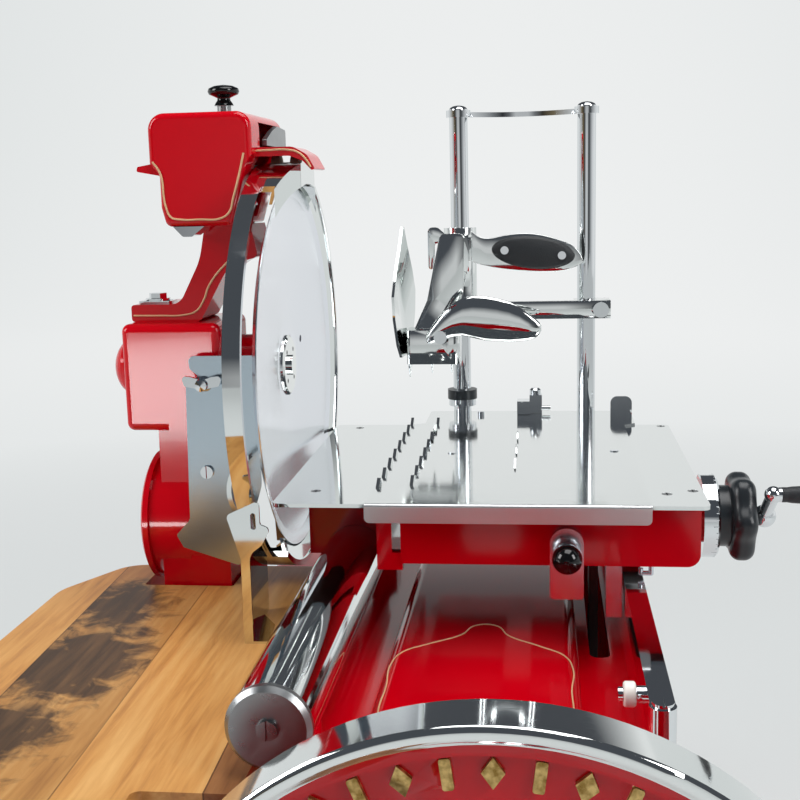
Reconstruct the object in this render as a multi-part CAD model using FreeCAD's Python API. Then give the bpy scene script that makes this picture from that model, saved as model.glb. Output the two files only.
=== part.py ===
import FreeCAD, Part
import math
import os
from FreeCAD import Vector

# Hand cranked flywheel meat slicer. Millimetres, +Z up, +Y along the carriage's travel away
# from the operator, +X from the blade to the feed crank. The origin is the centre of the
# base's four bolts, at the level that the feet stand on.

clearance = 0.4            # between pieces of different bodies that only pass each other
running_fit = 0.05         # radial play of a shaft in its bush

# blade and its housing
blade_radius = 159.5
blade_thickness = 4.5
blade_dish = 10.0          # how far the hub lies behind the cutting edge
blade_bevel = 11.0
blade_x = -121.0           # plane of the cutting edge
blade_y = 126.0
deck_gap = 52.5            # from the base's top up to the blade's lowest point
hub_plate_radius = 27.0
hub_plate_thickness = 2.5
hub_nut_radius = 9.0
hub_nut_height = 3.0
blade_shaft_radius = 12.0
blade_flange_radius = 30.0
blade_flange_thickness = 5.0
bearing_radius = 20.0
bearing_length = 12.0
housing_width = 88.0       # along X
housing_depth = 100.0      # along Y
housing_top = 43.0         # above the blade's axis
housing_bottom = 51.0      # below it
housing_gap = 58.0         # from the cutting edge's plane to the housing
housing_edge = 7.0
cap_radius = 28.5
cap_height = 22.0
boss_radius = 28.0
boss_length = 36.0

# ring guard round the blade
ring_reach = 18.5          # from the blade's edge to the band's outside
ring_wall = 5.0
ring_left = 22.0           # how far the band reaches to the blade's back side
ring_right = 5.0           # and to its front side
ring_near_right = -8.0     # the narrow stretch on the cutting side ends here
lip_gap = 2.0              # from the blade's edge to the lip
lip_thickness = 2.5
lip_set_back = 6.0         # inner edge of the lip behind its outer edge
cut_start = 118.0          # degrees round the blade from +Y, where the narrow stretch starts
cut_end = 236.0
top_window = 52.0          # width along Y of the opening for the sharpening stones
shield_inner = 159.0       # radius of the ring's wide front over the blade's top
shield_reach = 14.5        # from the cutting edge's plane to its front
shield_sheet = 2.2

# base
base_width = 358.0
base_front = -266.0
base_rear = 292.0
base_wall = 9.0
base_corner = 34.0
plinth_height = 26.0
plinth_step = 8.0
foot_height = 14.0
foot_radius = 21.0
base_bolt_radius = 5.5
bolt_inset = 34.0          # bolts inside the base's sides
bolt_spacing_y = 464.0
deck_height = 316.0        # the base's top above the bench
hump_left_reach = 95.0     # from the flywheel's axis to the hump's left side
hump_right_gap = 17.0      # from the hump's right side to the slotted lever
hump_height = 12.0
hump_edge = 11.0
hump_end_gap = 12.0

# chain column beside the base
chain_x = -226.0
chain_width = 6.0
chain_thickness = 7.0
chain_pitch = 12.7
drive_teeth = 20
blade_teeth = 10
idler_teeth = 9
column_width = 46.0
column_depth = 96.0
neck_depth = 80.0          # of the column between the round case and the housing
rib_width = 35.0           # of the column's front rib
column_wall = 5.0
column_foot_depth = 112.0
column_foot_z = 150.0
shaft_step = 7.0           # the column's left side inside the case's
case_radius = 56.0
case_rise = 74.0           # round case above the deck
case_rim = 5.0

# flywheel
flywheel_radius = 205.0
flywheel_inset = 108.0     # its axis inside the base's right side
flywheel_depth = 99.0      # its axis below the deck
flywheel_back = -334.0
rim_width = 35.0
rim_thickness = 11.0
rim_bead = 6.0
web_thickness = 9.0
web_set_back = 9.0
web_hole_radius = 31.0
web_hole_ring = 98.0
web_holes = 5
hub_radius = 38.0
flywheel_shaft_radius = 14.0
bush_wall = 6.0
bush_length = 22.0
handle_ring = 150.0        # crank radius of the flywheel's handle
handle_angle = 250.0       # degrees from +X, seen from the front
handle_length = 112.0
handle_radius = 17.0
handle_pin_radius = 7.0
mark_count = 48
mark_height = 17.0
mark_width = 6.0
mark_rise = 3.0
mark_gap = 1.5             # from the rim to the marks

# gears and slotted lever inside the base
bevel_teeth = 24
bevel_radius = 48.0
bevel_face = 16.0
tooth_height = 3.4
cross_shaft_radius = 11.0
crank_disc_thickness = 8.0
crank_pin_radius = 7.0
lever_inset = 39.0         # the slotted lever's middle inside the base's right side
lever_thickness = 8.0
lever_pivot_height = 40.0  # its pivot above the bench
lever_top_rise = 79.0      # its top pin above the deck
lever_width = 26.0
lever_pin_radius = 8.0

# rails
tube_x = -64.3
tube_rise = 55.0           # its axis above the deck
tube_radius = 26.5
tube_wall = 4.0
tube_front = -274.0
tube_rear = 366.0
pedestal_width = 30.0
pedestal_length = 40.0
end_screw_radius = 6.2
rail_inset = 21.0          # its left side inside the base's right side
rail_width = 15.0
rail_height = 22.0
rail_rise = 62.0           # its top above the deck
rail_front = -246.0
rail_rear = 356.0
pillar_radius = 8.0
pillar_y = -254.0
pillar_rise = 6.0
stop_roller_radius = 8.0
stop_roller_width = 7.5
stop_roller_gap = 9.2      # from its middle to the rail
stop_roller_inset = 43.0   # its axle behind the rail's front end
stop_roller_drop = 10.0    # and below the rail's top

# carriage and its travel
stroke = 150.0             # each way from the middle
table_rise = 125.0         # table's top above the deck
table_thickness = 3.0
table_left = -115.0
table_right = 221.0
table_front = -28.0
table_rear = 286.0
table_corner = 6.0
carriage_left = -16.0
carriage_right = 216.0
carriage_front = -12.0
carriage_depth = 52.5      # below the table's top
carriage_wall = 8.0
carriage_corner = 10.0
shoe_length = 130.0
shoe_y = 130.0
leg_gap = 2.5
roller_radius = 9.0
roller_width = 11.0
roller_y = 130.0

# upper table, posts and clamp
upper_left = -41.0
upper_right = 177.0
upper_front = -34.0
upper_thickness = 2.0
post_plate_left = -24.0
post_plate_right = 188.0
post_plate_rear = 352.0
lip_height = 15.0
lip_depth = 6.0
post_radius = 9.4
post_left_x = 11.0
post_right_x = 141.0
post_y = 337.0
post_height = 321.0
top_bar_bow = 34.0
top_bar_height = 7.0
spike_height = 6.0
short_row_x = 61.0         # the short spike row from the left post
short_row_first = 123.0    # its ends from the table's front
short_row_last = 239.0

# lead screw, index knob and feed crank
screw_y = 56.0
screw_depth = 30.0         # below the table's top
screw_radius = 7.0
screw_pitch = 5.0
scale_radius = 34.0
scale_width = 13.0
scale_gap = 7.0            # from the carriage to the scale ring
knob_radius = 37.0
knob_width = 20.0
knob_lobes = 6
knob_lobe_depth = 5.0      # from the tip of a lobe to the bottom of the hollows
knob_edge = 8.5            # rounding of its two faces
knob_hub_radius = 25.0
crank_arm = 35.0
crank_lean = 46.0          # degrees from upright, towards the operator
crank_grip_length = 92.0
crank_grip_radius = 9.0

# release plunger on the carriage's front
plunger_gap = 44.0         # from its axis to the side rail
plunger_plate_width = 26.0
plunger_ball_radius = 11.5

# sharpener
cover_left = -228.5
cover_right = -141.0
cover_rise = 59.5          # its top above the blade's edge
cover_height = 93.0
cover_depth = 124.0
cover_wall = 4.0
stone_radius = 11.0
stone_width = 7.0
cover_edge = 5.0           # rounding of its upper edges
stone_side = 57.0          # the stones' rod from the blade's cutting edge
knob_gap = 8.5             # from the cover up to the mushroom knob
arm_depth = 56.0

# board for the slices
board_thickness = 22.0
board_left = -329.0
board_right = -80.0
board_front = -330.0
board_rear = 131.0
board_step = 41.0          # its front edge is this much shorter beside the flywheel
board_slant_x = 120.0      # the cut off front corner
board_slant_y = 60.0
board_arm_front = -200.0   # the two arms under it
board_arm_rear = 20.0
board_arm_width = 26.0

deck_z = deck_height
blade_z = deck_z + deck_gap + blade_radius
shaft_z = deck_z - flywheel_depth
tube_z = deck_z + tube_rise
rail_z = deck_z + rail_rise
table_z = deck_z + table_rise
carriage_z = table_z - carriage_depth
screw_z = table_z - screw_depth
case_z = deck_z + case_rise
lever_pivot_z = lever_pivot_height
lever_top_z = deck_z + lever_top_rise
hump_z = deck_z + hump_height
base_left = -base_width / 2
base_right = base_width / 2
bolt_spacing_x = base_width - 2 * bolt_inset
flywheel_x = base_right - flywheel_inset
lever_x = base_right - lever_inset
rail_left = base_right - rail_inset
hump_left = flywheel_x - hump_left_reach
hump_right = lever_x - hump_right_gap
stop_roller_x = rail_left - stop_roller_gap
plunger_x = rail_left - plunger_gap
ring_outer = blade_radius + ring_reach
lip_inner = blade_radius + lip_gap
cover_top = blade_z + blade_radius + cover_rise
cover_low = cover_top - cover_height
housing_right = blade_x - housing_gap
housing_left = housing_right - housing_width
upper_z = table_z + upper_thickness
board_z = deck_z + board_thickness
lever_z_reach = lever_top_z - lever_pivot_z
crank_radius = stroke * (shaft_z - lever_pivot_z) / lever_z_reach

directions = {"x": Vector(1, 0, 0), "y": Vector(0, 1, 0), "z": Vector(0, 0, 1)}


# ---------------------------------------------------------------- building blocks

def point(axis, along, u, v):
    """A point from its place along an axis and its two other coordinates, in X, Y, Z order."""
    if axis == "x":
        return Vector(along, u, v)
    if axis == "y":
        return Vector(u, along, v)
    return Vector(u, v, along)


def box(x, y, z):
    corner = Vector(x[0], y[0], z[0])
    return Part.makeBox(x[1] - x[0], y[1] - y[0], z[1] - z[0], corner)


def rod(radius, start, end):
    line = end - start
    return Part.makeCylinder(radius, line.Length, start, line)


def bar(axis, radius, u, v, low, high):
    """A round bar along an axis, from low to high."""
    return rod(radius, point(axis, low, u, v), point(axis, high, u, v))


def sleeve(axis, outer, inner, u, v, low, high):
    return bar(axis, outer, u, v, low, high).cut(bar(axis, inner, u, v, low - 1, high + 1))


def outline(axis, along, corners):
    """A closed wire through corners (u, v) or (u, v, radius), rounded by their radii."""
    edges, ends = [], []
    count = len(corners)
    for i, corner in enumerate(corners):
        here = point(axis, along, corner[0], corner[1])
        before = point(axis, along, *corners[i - 1][:2])
        after = point(axis, along, *corners[(i + 1) % count][:2])
        radius = corner[2] if len(corner) > 2 else 0
        if radius <= 0:
            ends.append((here, here, None))
            continue
        to_before = (before - here).normalize()
        to_after = (after - here).normalize()
        half = to_before.getAngle(to_after) / 2
        if half > 1.56:
            ends.append((here, here, None))
            continue
        shorter = min((before - here).Length, (after - here).Length)
        reach = min(radius / math.tan(half), 0.49 * shorter)
        radius = reach * math.tan(half)
        middle = (to_before + to_after).normalize() * (radius / math.sin(half) - radius)
        ends.append((here + to_before * reach, here + to_after * reach, here + middle))
    for i, (first, last, middle) in enumerate(ends):
        if middle is not None:
            edges.append(Part.Arc(first, middle, last).toShape())
        following = ends[(i + 1) % count][0]
        if (following - last).Length > 1e-6:
            edges.append(Part.LineSegment(last, following).toShape())
    return Part.Wire(edges)


def plate(axis, low, high, corners):
    """A slab between two planes across an axis."""
    face = Part.Face(outline(axis, low, corners))
    return face.extrude(directions[axis] * (high - low))


def turned(axis, u, v, profile):
    """A solid of revolution from a profile of (place along the axis, radius)."""
    across = {"x": (0, 1), "y": (1, 0), "z": (1, 0)}[axis]
    points = [point(axis, a, u + r * across[0], v + r * across[1]) for a, r in profile]
    face = Part.Face(Part.makePolygon(points + points[:1]))
    return face.revolve(point(axis, 0, u, v), directions[axis], 360)


def joined(shapes):
    first, *rest = shapes
    return first.multiFuse(rest).removeSplitter() if rest else first


def soften(shape, radius, wanted):
    """Rounds the edges whose middle points are wanted."""
    edges = [e for e in shape.Edges if wanted(e.CenterOfMass, e)]
    return shape.makeFillet(radius, edges) if edges else shape


def group(shapes):
    return Part.makeCompound(list(shapes))


def rounded_block(x, y, z, corner, top_edge=0.0):
    """A block with round upright corners and, if asked, a round top edge."""
    corners = [(x[0], y[0], corner), (x[1], y[0], corner), (x[1], y[1], corner), (x[0], y[1], corner)]
    block = plate("z", z[0], z[1], corners)
    if top_edge > 0:
        block = soften(block, top_edge, lambda c, e: abs(c.z - z[1]) < 1e-3)
    return block


def belt_path(axis, along, first, second):
    """The outline round two circles (u, v, radius), v rising, with straight runs between."""
    gap = second[1] - first[1]
    lean = math.asin((first[2] - second[2]) / gap)
    sides = []
    for side in (1, -1):
        su = side * math.cos(lean)
        sv = math.sin(lean)
        sides.append([point(axis, along, c[0] + su * c[2], c[1] + sv * c[2]) for c in (first, second)])
    low = point(axis, along, first[0], first[1] - first[2])
    high = point(axis, along, second[0], second[1] + second[2])
    return Part.Wire([
        Part.LineSegment(sides[0][0], sides[0][1]).toShape(),
        Part.Arc(sides[0][1], high, sides[1][1]).toShape(),
        Part.LineSegment(sides[1][1], sides[1][0]).toShape(),
        Part.Arc(sides[1][0], low, sides[0][0]).toShape(),
    ])


def sprocket_radius(teeth):
    """Pitch radius of a chain sprocket."""
    return chain_pitch / (2 * math.sin(math.pi / teeth))


def sprocket(teeth, y, z, bore, hub_radius, x=chain_x):
    """A chain sprocket across X, with a hub and a bore."""
    tip = sprocket_radius(teeth) - chain_thickness / 2 - clearance
    root = tip - 3.0
    step = 2 * math.pi / teeth
    corners = []
    for i in range(teeth):
        for share, radius in ((-0.28, root), (-0.13, tip), (0.13, tip), (0.28, root)):
            turn = (i + share) * step
            corners.append((y + radius * math.cos(turn), z + radius * math.sin(turn)))
    half = chain_width / 2 - 1
    wheel = plate("x", x - half, x + half, corners)
    hub = bar("x", hub_radius, y, z, x - half - 3, x + half + 3)
    return wheel.fuse(hub).cut(bar("x", bore, y, z, x - 20, x + 20))


def screw_head(radius, height, axis, u, v, low, slot_along=(0, 1)):
    """A round screw head with a straight slot in its outer face, which is at low + height."""
    head = bar(axis, radius, u, v, low, low + height)
    face = low + height
    slot_depth = 0.45 * abs(height)
    half = 0.13 * radius
    corners = [(u - radius - 1, v - half), (u + radius + 1, v - half), (u + radius + 1, v + half),
               (u - radius - 1, v + half)]
    if slot_along == (0, 1):
        corners = [(u - half, v - radius - 1), (u + half, v - radius - 1), (u + half, v + radius + 1),
                   (u - half, v + radius + 1)]
    inner = face - math.copysign(slot_depth, height)
    slot = plate(axis, min(inner, face), max(inner, face), corners)
    return head.cut(slot)


# ---------------------------------------------------------------- base

def make_base():
    """The hollow base with plinth, feet, raised panel and all that is cast with it."""
    body_z = foot_height + plinth_height
    inset, wall = plinth_step, base_wall
    bx, by = body_x(), body_y()
    plinth = rounded_block((base_left, base_right), (base_front, base_rear), (foot_height, body_z),
                           base_corner, 7)
    body = rounded_block(bx, by, (body_z - 1, deck_z), base_corner - inset, 9)
    hump = rounded_block((hump_left, hump_right), (by[0] + hump_end_gap, by[1] - hump_end_gap),
                         (deck_z - 2, hump_z), 16, hump_edge)
    base = joined([plinth, body, hump])
    hollow = rounded_block((bx[0] + wall, bx[1] - wall), (by[0] + wall, by[1] - wall),
                           (foot_height - 1, deck_z - wall), base_corner - inset - wall)
    base = base.cut(hollow)
    inner = [corner_lug(sx, sy) for sx, sy in bolt_corners()] + [rib_at_crank(), rib_at_pinion(),
            lever_boss()]
    outer = [tube_pedestal(y) for y in pedestal_places()] + board_arms() + [rail_wall(), make_front_boss()]
    base = joined([base] + inner + outer + make_feet())
    bolts = [bar("z", base_bolt_radius, x, y, -1, body_z + 20) for x, y in bolt_places()]
    return base.cut(bolts + [flywheel_bore(), cross_bore(), lever_slot(), crank_pocket(), lever_pin_hole()])


def body_x():
    return base_left + plinth_step, base_right - plinth_step


def body_y():
    return base_front + plinth_step, base_rear - plinth_step


def bolt_corners():
    return [(sx, sy) for sx in (-1, 1) for sy in (-1, 1)]


def bolt_places():
    return [(sx * bolt_spacing_x / 2, sy * bolt_spacing_y / 2) for sx, sy in bolt_corners()]


def corner_lug(sx, sy):
    """The inner corner block that a base bolt goes through."""
    wall = base_wall / 2
    x = sorted((sx * (bolt_spacing_x / 2 - 20), sx * (base_right - plinth_step - wall)))
    y = (body_y()[0] + wall, 20 - bolt_spacing_y / 2) if sy < 0 else (bolt_spacing_y / 2 - 20,
            body_y()[1] - wall)
    return box(x, y, (foot_height, foot_height + 12))


def rib_at_crank():
    """The wall inside the base that carries the cross shaft beside the crank disc."""
    low = cross_rib_x()
    return box((low, low + bush_length - 4), (blade_y - 34, blade_y + 45), (shaft_z - 42, deck_z - 1))


def cross_rib_x():
    return lever_x - lever_thickness / 2 - crank_disc_thickness - 36


def rib_y():
    return blade_y - bevel_radius - 66


def rib_at_pinion():
    """The wall inside the base that carries the flywheel shaft's rear end."""
    low = rib_y()
    return box((flywheel_x - 45, flywheel_x + 45), (low, low + bush_length), (shaft_z - 42, deck_z - 1))


def lever_boss():
    """The boss on the base's right wall that holds the lever's pivot pin."""
    low = lever_x + lever_thickness / 2 + clearance
    return bar("x", 20, blade_y, lever_pivot_z, low, base_right - plinth_step - 1)


def lever_pin_hole():
    return bar("x", lever_pin_radius, blade_y, lever_pivot_z, 0, base_right - plinth_step - 4)


def pedestal_places():
    return [tube_front + 70, base_rear - 56]


def tube_pedestal(y):
    """A foot on the deck that carries the tube rail, hollowed to fit under it."""
    block = rounded_block((tube_x - pedestal_width / 2, tube_x + pedestal_width / 2),
                          (y - pedestal_length / 2, y + pedestal_length / 2), (deck_z - 2,
                                  tube_z - tube_radius * 0.6), 5)
    return block.cut(bar("y", tube_radius, tube_x, tube_z, y - pedestal_length, y + pedestal_length))


def rail_wall():
    """The low wall along the deck's right edge that carries the side rail."""
    low, high = body_y()
    middle = rail_left + rail_width / 2 - 1
    return rounded_block((middle - 6, middle + 6), (low + 30, high - 30),
                         (deck_z - 2, rail_z - rail_height), 5)


def board_arms():
    """Two arms cast on the base's left side, under the board's free part."""
    arms = []
    for y in (board_arm_front, board_arm_rear):
        wall = body_x()[0] + 1
        arms.append(box((board_left + 50, wall), (y, y + board_arm_width), (deck_z - 7, deck_z)))
        corners = [(wall - 60, deck_z - 6), (wall, deck_z - 6), (wall, deck_z - 70)]
        arms.append(plate("y", y + 9, y + 17, corners))
    return arms


def flywheel_bush_radius():
    return flywheel_shaft_radius + bush_wall


def flywheel_bore():
    return bar("y", flywheel_bush_radius(), flywheel_x, shaft_z, base_front - 80, rib_y() + bush_length + 1)


def cross_bore():
    return bar("x", cross_shaft_radius + bush_wall, blade_y, shaft_z, base_left - 20,
               cross_rib_x() + bush_length)


def lever_slot():
    """The slot in the deck that the lever swings in."""
    swing = math.asin(stroke / lever_z_reach)
    reach = (deck_z - lever_pivot_z) * math.tan(swing) + lever_width / 2 / math.cos(swing) + 1.5
    half = lever_thickness / 2 + 4
    return rounded_block((lever_x - half, lever_x + half), (blade_y - reach, blade_y + reach),
                         (deck_z - 16, deck_z + 9), 7)


def crank_pocket():
    """Room under the deck above the crank disc."""
    return box((lever_x - 24, lever_x + 6), (blade_y - 48, blade_y + 48), (deck_z - 20, deck_z - 5))


def make_front_boss():
    """The long bearing nose on the base's front wall that the flywheel shaft runs in."""
    front = flywheel_back + 6
    nose = turned("y", flywheel_x, shaft_z, [(front, 0), (front, 30), (front + 14, 33),
                                             (base_front + plinth_step - 6, 46),
                                             (base_front + plinth_step, 46), (base_front + plinth_step, 0)])
    return nose


def make_feet():
    feet = []
    for x, y in bolt_places():
        feet.append(turned("z", x, y, [(0, 0), (0, foot_radius - 2), (2, foot_radius),
                                       (foot_height + 1, foot_radius - 3),
                                       (foot_height + 1, 0)]))
    return feet


def make_bushes():
    """Bushes of the flywheel shaft, the cross shaft and the blade shaft."""
    outer, inner = flywheel_bush_radius(), flywheel_shaft_radius + running_fit
    bushes = [sleeve("y", outer, inner, flywheel_x, shaft_z, low,
                     low + bush_length) for low in (flywheel_back + 6, rib_y())]
    outer, inner = cross_shaft_radius + bush_wall, cross_shaft_radius + running_fit
    left = body_x()[0] + base_wall - bush_length
    bushes += [sleeve("x", outer, inner, blade_y, shaft_z, left, left + bush_length),
               sleeve("x", outer, inner, blade_y, shaft_z, cross_rib_x(), cross_rib_x() + bush_length - 4)]
    outer, inner = bearing_radius, blade_shaft_radius + running_fit
    for low in (housing_left + 2, housing_right + boss_length - bearing_length):
        bushes.append(sleeve("x", outer, inner, blade_y, blade_z, low, low + bearing_length))
    return group(bushes)


# ---------------------------------------------------------------- column, chain and cases

def column_front():
    return blade_y - housing_depth / 2


def make_column():
    """The casting that holds the blade's shaft and the chain: housing, column and round case."""
    half = housing_depth / 2
    housing = box((housing_left, housing_right), (blade_y - half, blade_y + half),
                  (blade_z - housing_bottom, blade_z + housing_top))
    housing = soften(housing, housing_edge, lambda c, e: True)
    left = chain_x - column_width / 2 + 1
    right = chain_x + column_width / 2 - 1
    under = blade_z - housing_bottom
    shaft = box((left + shaft_step, right), (blade_y - column_depth / 2, blade_y + column_depth / 2),
                (column_foot_z + 100, case_z))
    neck = box((left + shaft_step, right), (blade_y - neck_depth / 2, blade_y + neck_depth / 2),
               (case_z - 1, under + 8))
    half_foot = column_foot_depth / 2
    foot = rounded_box_x((left, base_left + plinth_step), (blade_y - half_foot, blade_y + half_foot),
                         (column_foot_z, deck_z - 2), 20)
    edge = housing_right - rib_width
    rib = plate("y", column_front(), blade_y + half - 20,
                [(edge, deck_z - 2), (housing_right, deck_z - 2), (housing_right, under + 8),
                 (edge - 14, under + 8), (edge - 14, under), (edge, under, 11)])
    case = bar("x", case_radius, blade_y, case_z, left - 2, right)
    boss = bar("x", boss_radius, blade_y, blade_z, housing_right - 1, housing_right + boss_length)
    column = joined([housing, shaft, neck, foot, rib, case, boss])
    return column.cut(column_hollows())


def rounded_box_x(x, y, z, corner):
    """A block with round lower corners, seen along X."""
    corners = [(y[0], z[0], corner), (y[1], z[0], corner), (y[1], z[1]), (y[0], z[1])]
    return plate("x", x[0], x[1], corners)


def column_hollows():
    """The chain's room inside the column, the bearing bores and the round openings."""
    low_x = chain_x - column_width / 2 + 1 + column_wall
    high_x = chain_x + column_width / 2 - 1 - column_wall
    drive = sprocket_radius(drive_teeth) + chain_thickness / 2 + 4
    small = sprocket_radius(blade_teeth) + chain_thickness / 2 + 5
    path = belt_path("x", low_x + shaft_step, (blade_y, shaft_z, drive), (blade_y, blade_z, small))
    channel = Part.Face(path).extrude(Vector(high_x - low_x - shaft_step, 0, 0))
    room = bar("x", case_radius - column_wall - 2, blade_y, case_z, low_x, high_x)
    opening = bar("x", case_radius - column_wall - 8, blade_y, case_z, low_x - 30, high_x)
    cap_hole = bar("x", bearing_radius, blade_y, blade_z, housing_left - 1, low_x + shaft_step + 1)
    through = bar("x", blade_shaft_radius + 3, blade_y, blade_z, high_x - 1, housing_right + boss_length)
    bearing = bar("x", bearing_radius, blade_y, blade_z, housing_right + boss_length - bearing_length,
                  housing_right + boss_length + 1)
    cross = bar("x", cross_shaft_radius + bush_wall, blade_y, shaft_z, high_x - 1,
                base_left + plinth_step + 1)
    idler = bar("x", 6, idler_y(), case_z, high_x - 1, high_x + 8)
    return [channel, room, opening, cap_hole, through, bearing, cross, idler]


def make_case_cover():
    """The round cover that closes the case at the chain's middle, with a raised rim."""
    left = chain_x - column_width / 2 - 1
    profile = [(left, 0), (left, case_radius - column_wall - 8), (left - 0.01, case_radius + 3),
               (left - case_rim, case_radius + 3),
               (left - case_rim - 2, case_radius), (left - case_rim - 2,
                                                    case_radius - 8), (left - case_rim, case_radius - 12),
               (left - case_rim - 4, 0)]
    return turned("x", blade_y, case_z, profile)


def make_bearing_cap():
    """The domed cap over the blade shaft's end."""
    steps = 8
    dome = []
    for i in range(steps + 1):
        turn = math.pi / 2 * i / steps
        dome.append((housing_left - 4 - (cap_height - 4) * math.sin(turn),
                     (cap_radius - 2) * math.cos(turn)))
    profile = [(housing_left, 0), (housing_left, cap_radius), (housing_left - 3, cap_radius),
               (housing_left - 4, cap_radius - 2)]
    return turned("x", blade_y, blade_z, profile + dome[1:])


def strand_at(z):
    """How far the chain's straight run lies from its middle, at a height."""
    big, small = sprocket_radius(drive_teeth), sprocket_radius(blade_teeth)
    gap = blade_z - shaft_z
    lean = math.asin((big - small) / gap)
    return (big - (z - shaft_z) * math.sin(lean)) / math.cos(lean)


def idler_y():
    """The idler's axis: its sprocket touches the inside of the far run."""
    return blade_y + strand_at(case_z) - sprocket_radius(idler_teeth) - 0.3


def make_chain():
    """The closed roller chain as a band of its own width and height, with a roller bump per pitch."""
    half = chain_thickness / 2
    big, small = sprocket_radius(drive_teeth), sprocket_radius(blade_teeth)
    low = chain_x - chain_width / 2
    outer = belt_path("x", low, (blade_y, shaft_z, big + half), (blade_y, blade_z, small + half))
    inner = belt_path("x", low, (blade_y, shaft_z, big - half), (blade_y, blade_z, small - half))
    band = Part.Face(outer).cut(Part.Face(inner)).extrude(Vector(chain_width, 0, 0))
    return band


def make_idler():
    x = chain_x
    return sprocket(idler_teeth, idler_y(), case_z, 5 + running_fit, 9, x)


def idler_pin():
    high_x = chain_x + column_width / 2 - 1 - column_wall
    pin = bar("x", 5, idler_y(), case_z, chain_x - 9, high_x - 0)
    foot = bar("x", 6, idler_y(), case_z, high_x - 1, high_x + 5)
    head = bar("x", 8, idler_y(), case_z, chain_x - 12, chain_x - 9)
    return joined([pin, foot, head])


# ---------------------------------------------------------------- blade, guard and deflector

def make_blade():
    """A dished round blade, ground on its front side near the edge."""
    edge, thick, bevel = blade_x, blade_thickness, blade_bevel
    front_flat = blade_x - blade_dish
    profile = [(edge, blade_radius), (edge - 2.2, blade_radius - bevel),
               (front_flat, hub_plate_radius + 14),
               (front_flat, hub_nut_radius + 0.5), (front_flat - thick, hub_nut_radius + 0.5),
               (front_flat - thick, hub_plate_radius + 14), (edge - 2.2 - thick, blade_radius - bevel - 3),
               (edge - 0.9, blade_radius)]
    blade = turned("x", blade_y, blade_z, profile)
    turn = math.radians(30)
    eye = bar("x", 3.2, blade_y + 62 * math.cos(turn), blade_z + 34 * math.sin(turn), edge - 30, edge + 1)
    return blade.cut(eye)


def make_hub_plate():
    """The round plate and nut that hold the blade."""
    front = blade_x - blade_dish
    disc = turned("x", blade_y, blade_z, [(front, 0), (front, hub_plate_radius),
                                          (front + 1.2, hub_plate_radius),
                                          (front + hub_plate_thickness,
                                           hub_plate_radius - 2), (front + hub_plate_thickness, 0)])
    nut = bar("x", hub_nut_radius, blade_y, blade_z, front + hub_plate_thickness - 0.5,
              front + hub_plate_thickness + hub_nut_height)
    holes = [bar("x", 2, blade_y + 18 * math.cos(a), blade_z + 18 * math.sin(a), front - 1, front + 10)
             for a in (math.pi / 4 + k * math.pi / 2 for k in range(4))]
    return joined([disc, nut]).cut(holes)


def blade_back():
    return blade_x - blade_dish - blade_thickness


def make_blade_shaft():
    end = blade_back()
    flange = bar("x", blade_flange_radius, blade_y, blade_z, end - blade_flange_thickness, end)
    spigot = bar("x", hub_nut_radius + 0.5, blade_y, blade_z, end - 1, blade_x - blade_dish)
    body = bar("x", blade_shaft_radius, blade_y, blade_z, housing_left + 3, end - 1)
    return joined([flange, spigot, body])


def make_blade_sprocket():
    return sprocket(blade_teeth, blade_y, blade_z, blade_shaft_radius, blade_shaft_radius + 3)


def ring_band(inner, outer, left, right):
    return sleeve("x", outer, inner, blade_y, blade_z, left, right)


def sector(start, end, radius, left, right):
    """A wedge round the blade's axis between two angles from +Y, in degrees."""
    steps = 6
    corners = [(blade_y, blade_z)]
    for i in range(steps + 1):
        turn = math.radians(start + (end - start) * i / steps)
        corners.append((blade_y + radius * math.cos(turn), blade_z + radius * math.sin(turn)))
    return plate("x", left, right, corners)


def make_ring_guard():
    """The polished ring round the blade: band, lip where nothing is cut, and arms to the column's boss."""
    left, right = blade_x - ring_left, blade_x + ring_right
    band = ring_band(ring_outer - ring_wall, ring_outer, left, right)
    profile = [(right, ring_outer), (right - lip_set_back, lip_inner),
               (right - lip_set_back - lip_thickness, lip_inner),
               (right - lip_thickness - 1, ring_outer - 1)]
    lip = turned("x", blade_y, blade_z, profile)
    back = ring_band(ring_outer - 15, ring_outer - 1, left, left + 3)
    arm_left = housing_right + boss_length - 10
    arms = [ring_band(boss_radius, boss_radius + 8, arm_left, left + 1)]
    for degrees in (-80, 10, 55):
        arm = box((arm_left, left + 1), (blade_y - 9, blade_y + 9),
                  (blade_z + boss_radius + 5, blade_z + ring_outer - 7))
        arm.rotate(Vector(0, blade_y, blade_z), Vector(1, 0, 0), degrees - 90)
        arms.append(arm)
    ring = joined([band, lip, back] + arms)
    away = sector(cut_start, cut_end, ring_outer * 1.6, blade_x + ring_near_right, right + 5)
    window = box((left - 8, right + 3), (blade_y - top_window / 2, blade_y + top_window / 2),
                 (blade_z + ring_outer - 28, blade_z + ring_outer + 12))
    return joined([ring.cut([away, window]), make_top_shield()])


def make_top_shield():
    """The ring's wide front over the blade's top, hollow where the stones stand."""
    left, right = blade_x + ring_right - 1, blade_x + shield_reach
    half = top_window / 2
    footprint = [(left, blade_y - half - 62), (right, blade_y - half - 4, 12),
                 (right, blade_y + half + 4, 12), (left, blade_y + half + 62)]
    block = plate("z", blade_z + 100, blade_z + ring_outer + 1, footprint)
    shield = ring_band(shield_inner, ring_outer, left, right).common(block)
    room = box((left - 1, right - shield_sheet), (blade_y - half, blade_y + half),
               (blade_z + shield_inner - 12, blade_z + ring_outer + 1))
    return shield.cut(room)


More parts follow.
